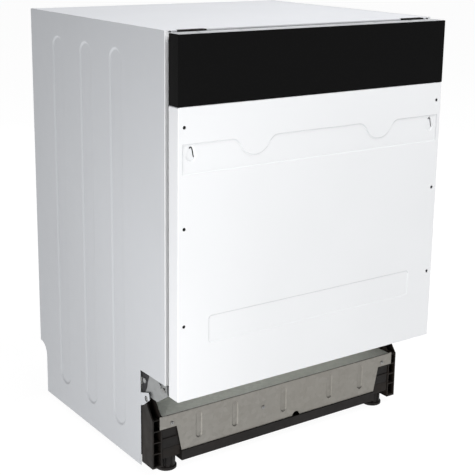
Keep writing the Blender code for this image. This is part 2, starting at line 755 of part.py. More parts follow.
def cutlery_basket(parent):
    """An open basket with one cross wall, which carries its handle."""
    x0, x1, y0, y1 = 158, 246, -186, 50
    z0, z1, t = LOWER_BOTTOM + RACK_WALL + GAP, 344, 2
    middle, cross = (x0 + x1) / 2, (y0 + y1) / 2
    outer = box(x0, x1, y0, y1, z0, z1)
    wells = [
        box(x0 + t, x1 - t, a, b, z0 + t, z1 + 5) for a, b in ((y0 + t, cross - t / 2), (cross + t / 2, y1 - t))
    ]
    slots = [box(x0 - 5, x1 + 5, a + 10, b - 10, z0 + 14, z1 - 40) for a, b in cells(y0, y1, 4, t)]
    handle = [
        box(middle - 4, middle + 4, cross - 4, cross + 4, z1 - 30, z1 + 38),
        box(middle - 4, middle + 4, cross - 50, cross + 50, z1 + 34, z1 + 42),
    ]
    piece("cutlery_basket", "grey_plastic", [outer], [merged(wells), merged(slots)], handle, parent=parent)


def upper_rack(parent):
    """The cup rack, with a runner on each side, its own feed pipe and the spigot for its spray arm."""
    solids, holes, through = basket(
        UPPER_HALF, RACK_FRONT, RACK_BACK, UPPER_BOTTOM, UPPER_TOP, 4, 4, RACK_WALL
    )
    late = [box(s * 259.5 - 10.5, s * 259.5 + 10.5, -190, 200, 542, 554) for s in (-1, 1)]
    y = TUB_MIDDLE
    late.append(box(-8, 8, y, RACK_BACK, UPPER_BOTTOM - 8, UPPER_BOTTOM + 2))
    late.append(cylinder(0, y, 10, "Z", ARM_UPPER_Z + 14 + GAP, UPPER_BOTTOM + 2))
    late.append(cylinder(0, y, 6, "Z", ARM_UPPER_Z - 3, UPPER_BOTTOM))
    late.append(cylinder(0, y, 10, "Z", ARM_UPPER_Z - 4, ARM_UPPER_Z - GAP))
    piece("upper_rack", "coated_wire", solids, holes, [], through, parent=parent)
    rack = bpy.data.objects["upper_rack"]
    for number, shape in enumerate(late):
        add_helper(rack, 100 + number, shape, "UNION")


def cup_shelf():
    """A folding shelf on the upper rack's left side, hinged on a bar parallel to Y."""
    x, z = CUP_HINGE
    plate = box(x, x + 112, -150, 150, z - 2, z + 2)
    bar = cylinder(x, z, 3, "Y", -156, 156, 12)
    openings = [
        box(x0, x1, y0, y1, z - 6, z + 6)
        for x0, x1 in cells(x + 4, x + 112, 3, 4)
        for y0, y1 in cells(-150, 150, 5, 4)
    ]
    piece("cup_shelf", "coated_wire", [plate, bar], [merged(openings)], origin=(x, 0, z))


# ---------------------------------------------------------------- door


def grip_outline(grow):
    """The pressed band under the fascia, whose upper edge dips round two half-round lobes."""
    half, low, high = 289 + grow, 582 - grow, 632 + grow
    points = [(-half, low), (half, low), (half, high)]
    for centre in (141.5, -141.5):
        shoulder = [(49 - grow, high), (41 - grow, high - 2), (35 - grow, high - 6)]
        points += [(centre + a, b) for a, b in shoulder]
        points += circle(centre, 635 + grow / 2, 34 - grow / 2, 9, -22, -136)
        points += [(centre - a, b) for a, b in reversed(shoulder)]
    return [*points, (-half, high)]


def keyhole(x):
    return circle(x, 606.5, 6.2, 10, 115, 310) + [(x + 2.6, 631), (x - 2.6, 631)]


def door_outer_panel(parent):
    half, low, high = DOOR_HALF, DOOR_BOTTOM, FASCIA_BOTTOM - GAP
    t = DOOR_SHEET
    pan = box(-half, half, FRONT, DOOR_BACK, low, high)
    hollow = box(-half + t, half - t, FRONT + t, DOOR_BACK + 5, low + t, high - t)
    depth = FRONT + PRESSING
    late = [
        prism(grip_outline(t), "Y", FRONT + t / 2, depth + t),
        prism(rounded(-235 - t, 235 + t, 277 - t, 327 + t, 7), "Y", FRONT + t / 2, depth + t),
    ]
    for sign in (-1, 1):
        x0, x1 = sorted((sign * 286, sign * (half - t / 2)))
        late.append(box(x0, x1, DOOR_BACK - t, DOOR_BACK, 204, high - t / 2))
    cuts = [
        prism(grip_outline(0), "Y", FRONT - 1, depth),
        prism(rounded(-235, 235, 277, 327, 6), "Y", FRONT - 1, depth),
    ]
    for sign in (-1, 1):
        cuts.append(prism(keyhole(sign * 272), "Y", FRONT - 1, FRONT + 10))
        for z in (317, 489, 661):
            cuts.append(cylinder(sign * 286, z, 2.2, "Y", FRONT - 1, FRONT + 5, 10))
    piece("door_outer_panel", "white_paint", [pan], [hollow], late, cuts, parent=parent)


def door_inner_panel(parent):
    """The stainless liner: a rim with a shallow flange, and a raised middle with the dispenser's opening."""
    half, low, high = INNER_HALF, 184.5, INNER_TOP
    block = box(-half, half, DOOR_BACK + GAP, INNER_RIM_Y, low, high)
    inside = box(-half + 1, half - 1, DOOR_BACK - 2, INNER_RIM_Y - 1, low + 1, high - 1)
    b_half, b_low, b_high = BULGE
    raised = frustum(b_half, b_low, b_high, 30, INNER_RIM_Y - 0.5, INNER_FACE_Y + 2, 8)
    hollow = frustum(b_half - 1.2, b_low + 1.2, b_high - 1.2, 29, INNER_RIM_Y - 2, INNER_FACE_Y + 1, 8)
    opening = box(-75, 95, INNER_FACE_Y - 5, INNER_FACE_Y + 5, 420, 590)
    piece("door_inner_panel", "stainless", [block, raised], [inside, hollow, opening], parent=parent)


def door_insulation(parent):
    mat = box(-278, 278, FRONT + 9, DOOR_BACK - 2, 200, 690)
    piece("door_insulation", "felt", [mat], parent=parent)


def control_fascia(parent):
    half, low, high = DOOR_HALF, FASCIA_BOTTOM, DOOR_TOP
    t = 2.5
    shell = box(-half, half, FRONT, DOOR_BACK, low, high)
    hollow = box(-half + t, half - t, FRONT + t, DOOR_BACK + 5, low + t, high + 5)
    lips = []
    for sign in (-1, 1):
        x0, x1 = sorted((sign * 286, sign * (half - t / 2)))
        lips.append(box(x0, x1, DOOR_BACK - 1.5, DOOR_BACK, low + 1, high - 13))
    piece("control_fascia", "black_gloss", [shell], [hollow], lips, parent=parent)


def control_strip(parent):
    """The strip along the door's top edge, with openings for the buttons, the display and the latch."""
    half, high = DOOR_HALF, DOOR_TOP
    back = INNER_RIM_Y - 1
    plate = box(-half + 2.9, half - 2.9, FRONT + 2.9, back, high - 6, high)
    rear = box(-half, half, DOOR_BACK + GAP, back, high - 6, high)
    fall = box(-half, half, back - 3, back, high - 12, high - 5)
    y, z = LATCH
    lugs = [box(s * 9.7 - 1.3, s * 9.7 + 1.3, y - 3.5, y + 4, z - 5, high - 5) for s in (-1, 1)]
    w, d = BUTTON_SIZE
    cuts = [
        box(
            x - w / 2 - GAP,
            x + w / 2 + GAP,
            BUTTON_Y - d / 2 - GAP,
            BUTTON_Y + d / 2 + GAP,
            high - 9,
            high + 2,
        )
        for x in BUTTON_XS.values()
    ]
    cuts.append(box(50, 110, BUTTON_Y - 9, BUTTON_Y + 9, high - 4, high + 2))
    cuts.append(box(-9, 9, back - 6, back + 2, high - 13, high - 6.4))
    cuts.append(cylinder(y, z, 1.9, "X", -14, 14, 12))
    piece("control_strip", "grey_plastic", [plate, rear, fall, *lugs], cuts, parent=parent)


def display_window(parent):
    lens = box(50 + GAP, 110 - GAP, BUTTON_Y - 9 + GAP, BUTTON_Y + 9 - GAP, DOOR_TOP - 4 + GAP, DOOR_TOP + 0.3)
    piece("display_window", "black_gloss", [lens], parent=parent)


def buttons(parent):
    w, d = BUTTON_SIZE
    for name, x in BUTTON_XS.items():
        key = box(x - w / 2, x + w / 2, BUTTON_Y - d / 2, BUTTON_Y + d / 2, DOOR_TOP - 7, DOOR_TOP + 0.8)
        flange = box(
            x - w / 2 - 2, x + w / 2 + 2, BUTTON_Y - d / 2 - 2, BUTTON_Y + d / 2 + 2, DOOR_TOP - 8, DOOR_TOP - 6.4
        )
        origin = (x, BUTTON_Y, DOOR_TOP)
        piece(f"{name}_button", "pale_plastic", [key, flange], origin=origin, parent=parent)


def latch_hook(parent):
    """The hook that lifts through the striker's window."""
    y, z = LATCH
    barrel = cylinder(y, z, 2.4, "X", -8, 8, 14)
    pin = cylinder(y, z, 1.5, "X", -11.4, 11.4, 12)
    arm = box(-2.5, 2.5, y - 1, y + 12, z - 4, z - 1.6)
    web = box(-2.5, 2.5, y - 1.5, y + 1.5, z - 4, z)
    tip = box(-2.5, 2.5, y + 9, y + 12, z - 4, z + 2.7)
    piece("latch_hook", "steel", [barrel, pin, web, arm, tip], origin=(0, y, z), parent=parent)


def hinge_arms(parent):
    """The lever on each side of the door, from inside it to the pin and back to the balance spring."""
    y, z = PIVOT_Y, PIVOT_Z
    hub = cylinder(y, z, 9, "X", 288.5, 291.5, 24)
    side = [(-256, z - 1), (-245.4, z - 1), (-243, z - 7), (y, z - 8), (y, z + 8), (-247, z + 9), (-256, z + 9)]
    neck = prism(side, "X", 288.5, 291.5)
    upright = box(288.5, 291.5, -269, -251, z - 1, 330)
    bridge = box(288.5, 291.5, -268, -250, z - 1, z + 9)
    side = [(y, z - 6), (SPRING_Y + 4, z - 6), (SPRING_Y + 6, z), (SPRING_Y + 4, z + 6), (y, z + 6)]
    tail = prism(side, "X", 288.5, 291.5)
    bore = cylinder(y, z, 4.4, "X", 280, 300, 20)
    eye = cylinder(SPRING_Y, z, 2, "X", 280, 300, 10)
    pair("hinge_arm", "galvanised", [upright, bridge, neck, hub, tail], [bore, eye], parent=parent)


def dispenser(parent):
    """The detergent and rinse-aid unit in the liner."""
    y = INNER_FACE_Y
    body = box(-74.6, 94.6, y - 22, y + 1, 420.4, 589.6)
    bezel = box(-80, 100, y + 2.4, y + 6, 415, 595)
    neck = box(-74, 94, y, y + 3, 421, 589)
    well = box(-60, 0, y - 18, y + 10, 505, 560)
    seat = cylinder(RINSE[0], RINSE[1], 11, "Y", y - 10, y + 10)
    rails = []
    for x in (-68, 4.6):
        rails.append(box(x, x + 3.4, y + 5, y + 9, 432, 572))
    piece("dispenser_body", "grey_plastic", [body, neck, bezel], [well, seat], rails, parent=parent)


def dispenser_lid(parent):
    """The lid that slides down off the detergent well."""
    y = INNER_FACE_Y + 6 + GAP
    plate = box(-64.2, 4.2, y, y + 2.6, 500, 566)
    ridge = box(-50, -10, y + 2, y + 5, 506, 510)
    piece("dispenser_lid", "grey_plastic", [plate, ridge], origin=(-30, y, 533), parent=parent)


def rinse_aid_cap(parent):
    x, z = RINSE
    y = INNER_FACE_Y + 6 + GAP
    disc = cylinder(x, z, 18, "Y", y, y + 3, 24)
    plug = cylinder(x, z, 10.4, "Y", y - 10, y + 1, 20)
    grip = box(x - 15, x + 15, y + 2, y + 6, z - 2.5, z + 2.5)
    piece("rinse_aid_cap", "blue_plastic", [disc, plug, grip], origin=(x, y, z), parent=parent)


# ---------------------------------------------------------------- build


def build():
    for obj in list(bpy.data.objects):
        bpy.data.objects.remove(obj)
    side_panels()
    top_panel()
    worktop_brackets()
    rear_panel()
    front_crossbar()
    tub()
    tub_gasket()
    rack_rails()
    spray_feed_pipe()
    base_tray()
    plinth_plate()
    front_posts()
    hinge_brackets()
    door_springs()
    adjustable_foot("front_right_foot", FOOT_X, FOOT_Y, 34, 112)
    adjustable_foot("front_left_foot", -FOOT_X, FOOT_Y, 34, 112)
    adjustable_foot("rear_foot", 0, REAR_FOOT_Y, 14, 84)
    sump()
    circulation_pump()
    drain_pump()
    water_softener()
    salt_cap()
    filter_plate()
    filter_cup()
    inlet_valve()
    drain_spigot()
    terminal_box()
    air_break()
    spray_arm("lower_spray_arm", ARM_LOWER_Z, 1)
    lower = axis_empty("lower_rack_slide", (0, 0, LOWER_BOTTOM))
    lower_rack(lower)
    rack_wheels(lower)
    cutlery_basket(lower)
    upper = axis_empty("upper_rack_slide", (0, 0, UPPER_BOTTOM))
    upper_rack(upper)
    spray_arm("upper_spray_arm", ARM_UPPER_Z, -1)
    hang(bpy.data.objects["upper_spray_arm"], upper)
    cup_shelf()
    hang(bpy.data.objects["cup_shelf"], upper)
    door = axis_empty("door_hinge_axis", (0, PIVOT_Y, PIVOT_Z))
    door_outer_panel(door)
    door_inner_panel(door)
    door_insulation(door)
    control_fascia(door)
    control_strip(door)
    display_window(door)
    buttons(door)
    latch_hook(door)
    hinge_arms(door)
    dispenser(door)
    dispenser_lid(door)
    rinse_aid_cap(door)


build()
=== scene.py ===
"""Looks for a 600 mm wide, fully integrated dishwasher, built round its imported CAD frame.

Shapes are in millimetres, in the frame of the CAD: +X right, -Y front, +Z up, origin on the floor.
"""

import math

import bmesh
import bpy
from mathutils import Matrix, Vector
from mathutils.geometry import tessellate_polygon


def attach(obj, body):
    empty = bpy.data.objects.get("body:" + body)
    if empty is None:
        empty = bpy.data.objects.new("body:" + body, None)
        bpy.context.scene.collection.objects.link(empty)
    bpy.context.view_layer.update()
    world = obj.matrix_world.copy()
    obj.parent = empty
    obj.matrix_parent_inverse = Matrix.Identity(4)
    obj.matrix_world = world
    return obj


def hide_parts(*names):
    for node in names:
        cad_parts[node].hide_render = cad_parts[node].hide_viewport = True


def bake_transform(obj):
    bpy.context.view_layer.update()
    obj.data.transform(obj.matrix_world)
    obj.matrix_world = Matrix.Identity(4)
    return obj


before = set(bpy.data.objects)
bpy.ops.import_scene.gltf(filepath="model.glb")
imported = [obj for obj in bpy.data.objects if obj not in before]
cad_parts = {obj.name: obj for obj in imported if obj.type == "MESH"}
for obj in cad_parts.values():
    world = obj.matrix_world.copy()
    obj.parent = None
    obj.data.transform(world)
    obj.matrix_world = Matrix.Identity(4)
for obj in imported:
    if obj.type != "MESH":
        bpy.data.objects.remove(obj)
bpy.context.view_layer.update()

MM = 0.001

# Sizes are in millimetres. HALF is half the width; angles along a fold are in radians.
# Cabinet
HALF = 299.0
CABINET_FRONT = -235.0
BACK = 275.0
HEIGHT = 815.0
TOE_EDGE = -149.0
TOE_HEIGHT = 197.0
SIDE_BOTTOM = 8
REAR_NOTCH_TOP = 116
FOLD = 1.6
BEND_STEPS = (0, 0.4, 0.8, 1.2)
SIDE_RIBS = (-69, 44, 157)
SIDE_RIB = (57, 772, 23)  # bottom, top, radius
TAB_SCREW = (TOE_EDGE - 20, 148)
BRACKET_FACE = 295.0
PIVOT = (-225, 184)
SPRING_X = 290
SPRING_Y = -140.0

# Door
DOOR_FRONT = -275.0
DOOR_BACK = -246.0
DOOR_HALF = 298.0
DOOR_BOTTOM = 180.0
DOOR_TOP = 694.6
GRIP_DEPTH = 1.8
GRIP_HALF = 289
GRIP_LOW = 582
GRIP_HIGH = 632
LOBE_X = 141.5
LOBE_Z = 635
LOWER_BAND = (235, 277, 327)  # half width, bottom, top
LOWER_BAND_DEPTH = 1.3
KEYHOLE_X = 272
KEYHOLE_DEPTH = 1.8
DOOR_HOLES_X = 286
DOOR_HOLES_Z = (317, 489, 661)

# Plinth
PLATE_Y = -190.0
PLATE_TOP = 115.0
PLATE_BOTTOM = 38
PLATE_STEP = 90
PLATE_HALF = 283
PLATE_RIBS = (-198, -116, 0, 116, 198)
PLATE_RIB = (54, 106, 6.6)  # bottom, top, radius
SHELF_BACK = -117.0
SHELF_HALF = 276
RISER_TOP = 178

# Racks and the tub's middle
RACK_FRONT = -198.0
RACK_BACK = 236.0
MIDDLE = 14.0
ARM_LENGTH = 199.8
WHEEL_X = 226.0
WHEEL_Z = 208.4
WHEEL_YS = (-125.0, 190.0)
WIRE = 1.9  # the radius of a rack's wires

# Edges that turn more than SHARP are shaded sharp, and more than BEVEL_FROM are rounded
SHARP = math.radians(35)
BEVEL_FROM = math.radians(32)

# Studio, in metres; each light is (name, position, size, watts, colour)
LIGHTS = (
    ("key", (0.6, -1.75, 3.8), 1.8, 108.0, (1.0, 1.0, 1.0)),
    ("side_fill", (-1.15, -0.62, 0.24), 0.5, 6.9, (1.0, 0.99, 0.98)),
    ("overhead", (0.4, 0.0, 4.0), 0.8, 30.0, (0.97, 0.98, 1.0)),
    ("back_fill", (1.9, 2.6, 0.6), 1.0, 14.0, (1.0, 1.0, 1.0)),
)
LIGHT_TARGET = (0, 0, 0.42)
SKY_COLOUR = (0.97, 0.985, 1.0, 1.0)
SKY_FADE = {"From Min": 0.05, "From Max": 0.45, "To Min": 0.26, "To Max": 0.06}
FLOOR_HALF = 30
FLOOR_GLOW = 0.96
CAMERA_AT = (-1.2211, -1.7482, 0.9848)
CAMERA_YAW = 35.286  # degrees, like the pitch and the roll
CAMERA_PITCH = 13.755
CAMERA_ROLL = 0.825
CAMERA_LENS = 82.58
CAMERA_SHIFT = -0.1

# ---------------------------------------------------------------- materials


class Graph:
    """Adds nodes to a material, each fed by sockets or plain values."""

    def __init__(self, name):
        self.material = bpy.data.materials.new(name)
        self.material.use_nodes = True
        self.tree = self.material.node_tree
        self.shader = self.tree.nodes["Principled BSDF"]
        self.place = self.node("ShaderNodeTexCoord").outputs["Object"]

    def node(self, kind, values=None, **settings):
        made = self.tree.nodes.new(kind)
        for key, value in settings.items():
            setattr(made, key, value)
        for key, value in (values or {}).items():
            self.feed(made.inputs[key], value)
        return made

    def feed(self, socket, value):
        """Links a socket to another, or sets it to a constant."""
        if isinstance(value, bpy.types.NodeSocket):
            self.tree.links.new(value, socket)
        else:
            socket.default_value = value

    def noise(self, scale, detail=3.0, roughness=0.5, stretch=(1, 1, 1)):
        """Smooth noise, finer with a larger scale."""
        mapping = self.node("ShaderNodeMapping", {"Vector": self.place, "Scale": stretch})
        values = {"Vector": mapping.outputs[0], "Scale": scale, "Detail": detail, "Roughness": roughness}
        return self.node("ShaderNodeTexNoise", values).outputs["Fac"]

    def cells(self, scale):
        """Crystals, each with a colour of its own."""
        values = {"Vector": self.place, "Scale": scale}
        return self.node("ShaderNodeTexVoronoi", values).outputs["Color"]

    def span(self, factor, low, high, start=0.3, end=0.7):
        """The factor's range from start to end, spread from low to high."""
        values = {"Value": factor, "From Min": start, "From Max": end, "To Min": low, "To Max": high}
        return self.node("ShaderNodeMapRange", values).outputs[0]

    def blend(self, factor, first, second):
        """A colour between first and second."""
        made = self.node("ShaderNodeMix", data_type="RGBA")
        self.feed(made.inputs[0], factor)
        self.feed(made.inputs[6], first)
        self.feed(made.inputs[7], second)
        return made.outputs[2]

    def bump(self, height, strength, distance):
        values = {"Height": height, "Strength": strength, "Distance": distance}
        self.feed(self.shader.inputs["Normal"], self.node("ShaderNodeBump", values).outputs[0])

    def finish(self, **sockets):
        """Feeds the shader's sockets, named with _ for a space, and gives the material."""
        for key, value in sockets.items():
            self.feed(self.shader.inputs[key.replace("_", " ")], value)
        return self.material


def shade(colour, factor):
    """The colour made lighter or darker, with an alpha of 1."""
    return (*[min(1.0, c * factor) for c in colour], 1.0)


def painted(name, colour, roughness):
    """Sprayed enamel: an orange peel of about a millimetre, and a tone that drifts over the sheet."""
    g = Graph(name)
    drift = g.span(g.noise(3.0, 2.0), 0.0, 1.0)
    colour_out = g.blend(drift, shade(colour, 0.98), shade(colour, 1.02))
    g.bump(g.noise(900.0, 2.0), 0.03, 0.0004)
    rough = g.span(g.noise(40.0, 4.0), roughness - 0.04, roughness + 0.05)
    return g.finish(Base_Color=colour_out, Roughness=rough, Specular_IOR_Level=0.4)


def moulded(name, colour, roughness, grain=0.12, tint=(1.0, 1.0, 1.0), specular=0.4):
    """Moulded plastic: a fine spark-eroded grain, and flow marks in its tone."""
    g = Graph(name)
    other = [c * t for c, t in zip(colour, tint)]
    flow = g.span(g.noise(9.0, 4.0, 0.6, (1, 1, 2.2)), 0.0, 1.0)
    colour_out = g.blend(flow, shade(colour, 0.9), shade(other, 1.12))
    g.bump(g.noise(2600.0, 3.0, 0.6), grain, 0.0003)
    rough = g.span(g.noise(70.0, 5.0), roughness - 0.07, roughness + 0.09)
    return g.finish(Base_Color=colour_out, Roughness=rough, Specular_IOR_Level=specular)


def galvanised(name, colour, roughness=0.42, metal=0.75):
    """Zinc coated sheet: crystals of about 8 mm, each with its own tone and gloss."""
    g = Graph(name)
    spangle = g.node("ShaderNodeSeparateColor", {"Color": g.cells(130.0)})
    tone = g.span(spangle.outputs[0], 0.0, 1.0, 0.0, 1.0)
    crystals = g.blend(tone, shade(colour, 0.93), shade(colour, 1.06))
    haze = g.span(g.noise(3.0, 2.0), 0.0, 0.5)
    warm = (colour[0] * 0.99, colour[1] * 0.96, colour[2] * 0.91, 1.0)
    colour_out = g.blend(haze, crystals, warm)
    g.bump(g.noise(700.0, 3.0), 0.04, 0.0004)
    rough = g.span(spangle.outputs[1], roughness - 0.05, roughness + 0.05, 0.0, 1.0)
    return g.finish(Base_Color=colour_out, Roughness=rough, Metallic=metal)


def brushed(name, colour, roughness, stretch):
    """Stainless sheet with a fine grain along one axis and faint handling marks."""
    g = Graph(name)
    lines = g.noise(60.0, 6.0, 0.7, stretch)
    marks = g.span(g.noise(7.0, 5.0, 0.6), 0.0, 1.0)
    colour_out = g.blend(marks, shade(colour, 0.94), shade(colour, 1.05))
    g.bump(lines, 0.05, 0.0003)
    rough = g.span(lines, roughness - 0.06, roughness + 0.08)
    return g.finish(Base_Color=colour_out, Roughness=rough, Metallic=1.0)


def gloss(name, colour, roughness, specular):
    """Polished black plastic, with a trace of dust and waviness."""
    g = Graph(name)
    dust = g.span(g.noise(350.0, 6.0, 0.7), 0.0, 1.0, 0.5, 0.9)
    colour_out = g.blend(dust, shade(colour, 1.0), shade(colour, 1.6))
    g.bump(g.noise(14.0, 2.0), 0.03, 0.002)
    rough = g.span(g.noise(120.0, 4.0), roughness - 0.03, roughness + 0.06)
    return g.finish(Base_Color=colour_out, Roughness=rough, Specular_IOR_Level=specular)


def fibrous(name, colour):
    """Bitumen felt: matted fibres and tar specks."""
    g = Graph(name)
    fibres = g.noise(500.0, 8.0, 0.75, (1, 0.4, 1))
    colour_out = g.blend(g.span(fibres, 0.0, 1.0), shade(colour, 0.5), shade(colour, 1.7))
    g.bump(fibres, 0.6, 0.001)
    return g.finish(Base_Color=colour_out, Roughness=g.span(fibres, 0.85, 1.0))


LOOKS = {
    "white_paint": painted("white_enamel", (0.86, 0.87, 0.885), 0.34),
    "top_paint": painted("top_enamel", (0.80, 0.81, 0.835), 0.62),
    # Painted shade: a darker copy of the white enamel, for the door pan's sides and the pressed walls that
    # face the floor
    "door_painted_shade": painted("door_painted_shade_enamel", (0.70, 0.71, 0.73), 0.45),
    # Grey-white side enamel, made much darker than the door's white: partly its own tone, partly painted
    # shade on the sides
    "side_paint_and_shade": painted("side_enamel_and_shade", (0.505, 0.52, 0.545), 0.5),
    "galvanised": galvanised("galvanised_sheet", (0.30, 0.31, 0.315)),
    "plate": galvanised("galvanised_plate", (0.300, 0.290, 0.268), 0.5),
    "stainless": brushed("brushed_stainless", (0.56, 0.57, 0.58), 0.30, (1, 30, 1)),
    "liner": brushed("brushed_liner", (0.58, 0.59, 0.60), 0.28, (30, 1, 1)),
    "black_gloss": gloss("black_gloss", (0.0062, 0.0062, 0.0063), 0.3, 0.015),
    "black_plastic": moulded("black_plastic", (0.010, 0.0092, 0.0088), 0.5, 0.16, (1.3, 1.1, 1.0), 0.2),
    "post_plastic": moulded("post_plastic", (0.013, 0.0115, 0.0105), 0.5, 0.16, (1.5, 1.2, 1.0), 0.15),
    "grey_plastic": moulded("grey_plastic", (0.20, 0.21, 0.23), 0.45),
    # Painted light: a much lighter copy of the galvanised sheet for the plinth's shelf, standing in for light
    # reflected from the door's underside
    "shelf": galvanised("galvanised_shelf_painted_light", (0.80, 0.82, 0.77), 0.5, 0.1),
    "strip": moulded("strip_plastic", (0.66, 0.67, 0.685), 0.35, 0.05),
    "dark_grey": moulded("dark_grey_plastic", (0.085, 0.09, 0.10), 0.42),
    "pale_plastic": moulded("pale_plastic", (0.72, 0.73, 0.74), 0.45),
    "blue_plastic": moulded("blue_plastic", (0.045, 0.16, 0.40), 0.40),
    "rubber": moulded("rubber", (0.018, 0.018, 0.020), 0.72, 0.3),
    "felt": fibrous("bitumen_felt", (0.05, 0.05, 0.05)),
    "coated_wire": moulded("nylon_coat", (0.26, 0.28, 0.31), 0.33, 0.05),
    "steel": brushed("zinc_steel", (0.32, 0.32, 0.315), 0.34, (1, 1, 1)),
}

# ---------------------------------------------------------------- shapes


def circle(a, b, radius, count=24, start=0.0, turn=360.0):
    """Points round a circle, or along an arc when turn is less than a full one; angles in degrees."""
    closed = abs(turn) >= 360.0
    steps = count if closed else count - 1
    angles = [math.radians(start + turn * i / steps) for i in range(count)]
    return [(a + radius * math.cos(t), b + radius * math.sin(t)) for t in angles]


def stadium(a, low, high, radius, count):
    """An upright slot with round ends."""
    return circle(a, high - radius, radius, count, 0, 180) + circle(a, low + radius, radius, count, 180, 180)


def rounded(a0, a1, b0, b1, radius, count=6):
    """A rectangle with round corners."""
    return (
        circle(a1 - radius, b0 + radius, radius, count, -90, 90)
        + circle(a1 - radius, b1 - radius, radius, count, 0, 90)
        + circle(a0 + radius, b1 - radius, radius, count, 90, 90)
        + circle(a0 + radius, b0 + radius, radius, count, 180, 90)
    )


def ribbon(path, width):
    """The outline of a line of constant width."""
    left, right = [], []
    for i, (a, b) in enumerate(path):
        (a0, b0), (a1, b1) = path[max(i - 1, 0)], path[min(i + 1, len(path) - 1)]
        reach = 0.5 * width / math.hypot(a1 - a0, b1 - b0)
        left.append((a + (b0 - b1) * reach, b + (a1 - a0) * reach))
        right.append((a - (b0 - b1) * reach, b - (a1 - a0) * reach))
    return left + right[::-1]


def join(*shapes):
    """Several shapes as one; a shape is (points, faces)."""
    points, faces = [], []
    for some_points, some_faces in shapes:
        start = len(points)
        points += some_points
        faces += [tuple(start + i for i in face) for face in some_faces]
    return points, faces


def loft(rings, around=True, capped=False):
    """A skin through rings of equal length; around closes each ring, capped closes the two ends."""
    n = len(rings[0])
    points = [tuple(p) for ring in rings for p in ring]
    steps = n if around else n - 1
    faces = []
    for k in range(len(rings) - 1):
        this, other = k * n, (k + 1) * n
        faces += [(this + i, this + (i + 1) % n, other + (i + 1) % n, other + i) for i in range(steps)]
    if capped:
        faces += [tuple(range(n)), tuple(range(len(points) - n, len(points)))]
    return points, faces


def fill(loops, place, depth=0.0):
    """A flat face inside the first loop and outside the others."""
    flat = [p for loop in loops for p in loop]
    triangles = tessellate_polygon([[Vector((a, b, 0)) for a, b in loop] for loop in loops])
    return [place(a, b, depth) for a, b in flat], [tuple(t) for t in triangles]


def pressing(ring, depth, place, start, end, holes=()):
    """A soft-edged pressing, whose wall runs from the offset start to the offset end.

    ring(grow) gives its outline at an offset; holes are cut in its floor.
    """
    rings = []
    for t in (0.0, 0.12, 0.3, 0.5, 0.7, 0.88, 1.0):
        fall = depth * t * t * (3 - 2 * t)
        rings.append([place(a, b, fall) for a, b in ring(start + (end - start) * t)])
    return join(loft(rings), fill([ring(end), *holes], place, depth))


def strip(profile, low, high, place):
    """A profile swept straight from low to high."""
    return loft([[place(*p, low) for p in profile], [place(*p, high) for p in profile]], around=False)


def box(x0, x1, y0, y1, z0, z1):
    ring = [(x0, y0), (x1, y0), (x1, y1), (x0, y1)]
    return loft([[(x, y, z) for x, y in ring] for z in (z0, z1)], capped=True)


def slab(outline, place, low, high):
    """An outline made solid from low to high."""
    return loft([[place(a, b, depth) for a, b in outline] for depth in (low, high)], capped=True)


def upright(a, b, depth):
    """Places an outline drawn in X and Z at a depth along Y."""
    return (a, depth, b)


def sideways(sign):
    """Places an outline drawn in Y and Z at a distance to one side."""
    return lambda a, b, depth: (sign * depth, a, b)


def basis(direction):
    """Two directions square to a direction, and the direction itself."""
    w = Vector(direction).normalized()
    side = Vector((0, 0, 1)) if abs(w.z) < 0.9 else Vector((1, 0, 0))
    u = side.cross(w).normalized()
    return u, w.cross(u), w


def turned(profile, centre, direction, count=32):
    """A skin turned about an axis; profile is (radius, distance along the axis)."""
    u, v, w = basis(direction)
    c = Vector(centre)
    rings = []
    for radius, along in profile:
        rings.append([c + u * a + v * b + w * along for a, b in circle(0, 0, max(radius, 0.001), count)])
    return loft(rings)


def fillet(path, radius, count=5, closed=False):
    """The path with its corners rounded."""
    points = [Vector(p) for p in path]
    n = len(points)
    made = []
    for i, p in enumerate(points):
        if not closed and i in (0, n - 1):
            made.append(p)
            continue
        before, after = points[i - 1] - p, points[(i + 1) % n] - p
        cut = min(radius, before.length * 0.49, after.length * 0.49)
        first, last = p + before.normalized() * cut, p + after.normalized() * cut
        for k in range(count + 1):
            t = k / count
            made.append(first * (1 - t) ** 2 + p * 2 * t * (1 - t) + last * t * t)
    return made


def wire(path, radius, sides=8, closed=False):
    """A round wire along a path, with domed ends."""
    points = [Vector(p) for p in path]
    n = len(points)
    rings = []
    normal = None
    for i, p in enumerate(points):
        before = points[i - 1] if closed or i else p
        after = points[(i + 1) % n] if closed or i < n - 1 else p
        tangent = (after - before).normalized()
        if normal is None:
            normal = basis(tangent)[0]
        normal = (normal - tangent * normal.dot(tangent)).normalized()
        other = tangent.cross(normal)
        ring = [normal * a + other * b for a, b in circle(0, 0, radius, sides)]
        if not closed and i == 0:
            rings.append([p - tangent * radius * 0.6 + v * 0.55 for v in ring])
        rings.append([p + v for v in ring])
        if not closed and i == n - 1:
            rings.append([p + tangent * radius * 0.6 + v * 0.55 for v in ring])
    if closed:
        return loft([*rings, rings[0]])
    return loft(rings, capped=True)


def screw(centre, direction, radius=3.6):
    """A pan head with a cross recess."""
    u, v, w = basis(direction)
    c = Vector(centre)

    def ring(radii, height):
        spokes = circle(0, 0, 1, 24)
        return [c + u * a * r + v * b * r + w * height for (a, b), r in zip(spokes, radii)]

    plus = [radius * (0.17 + 0.38 * max(0.0, math.cos(4 * math.tau * i / 24)) ** 1.5) for i in range(24)]
    rings = [
        ring([radius] * 24, 0),
        ring([radius] * 24, radius * 0.22),
        ring([radius * 0.9] * 24, radius * 0.42),
        ring([radius * 0.62] * 24, radius * 0.54),
        ring(plus, radius * 0.56),
        ring([r * 0.8 for r in plus], radius * 0.12),
    ]
    return loft(rings, capped=True)


def mirrored(shape):
    """The shape on the machine's other side."""
    points, faces = shape
    return [(-p[0], p[1], p[2]) for p in points], faces


# ---------------------------------------------------------------- pieces


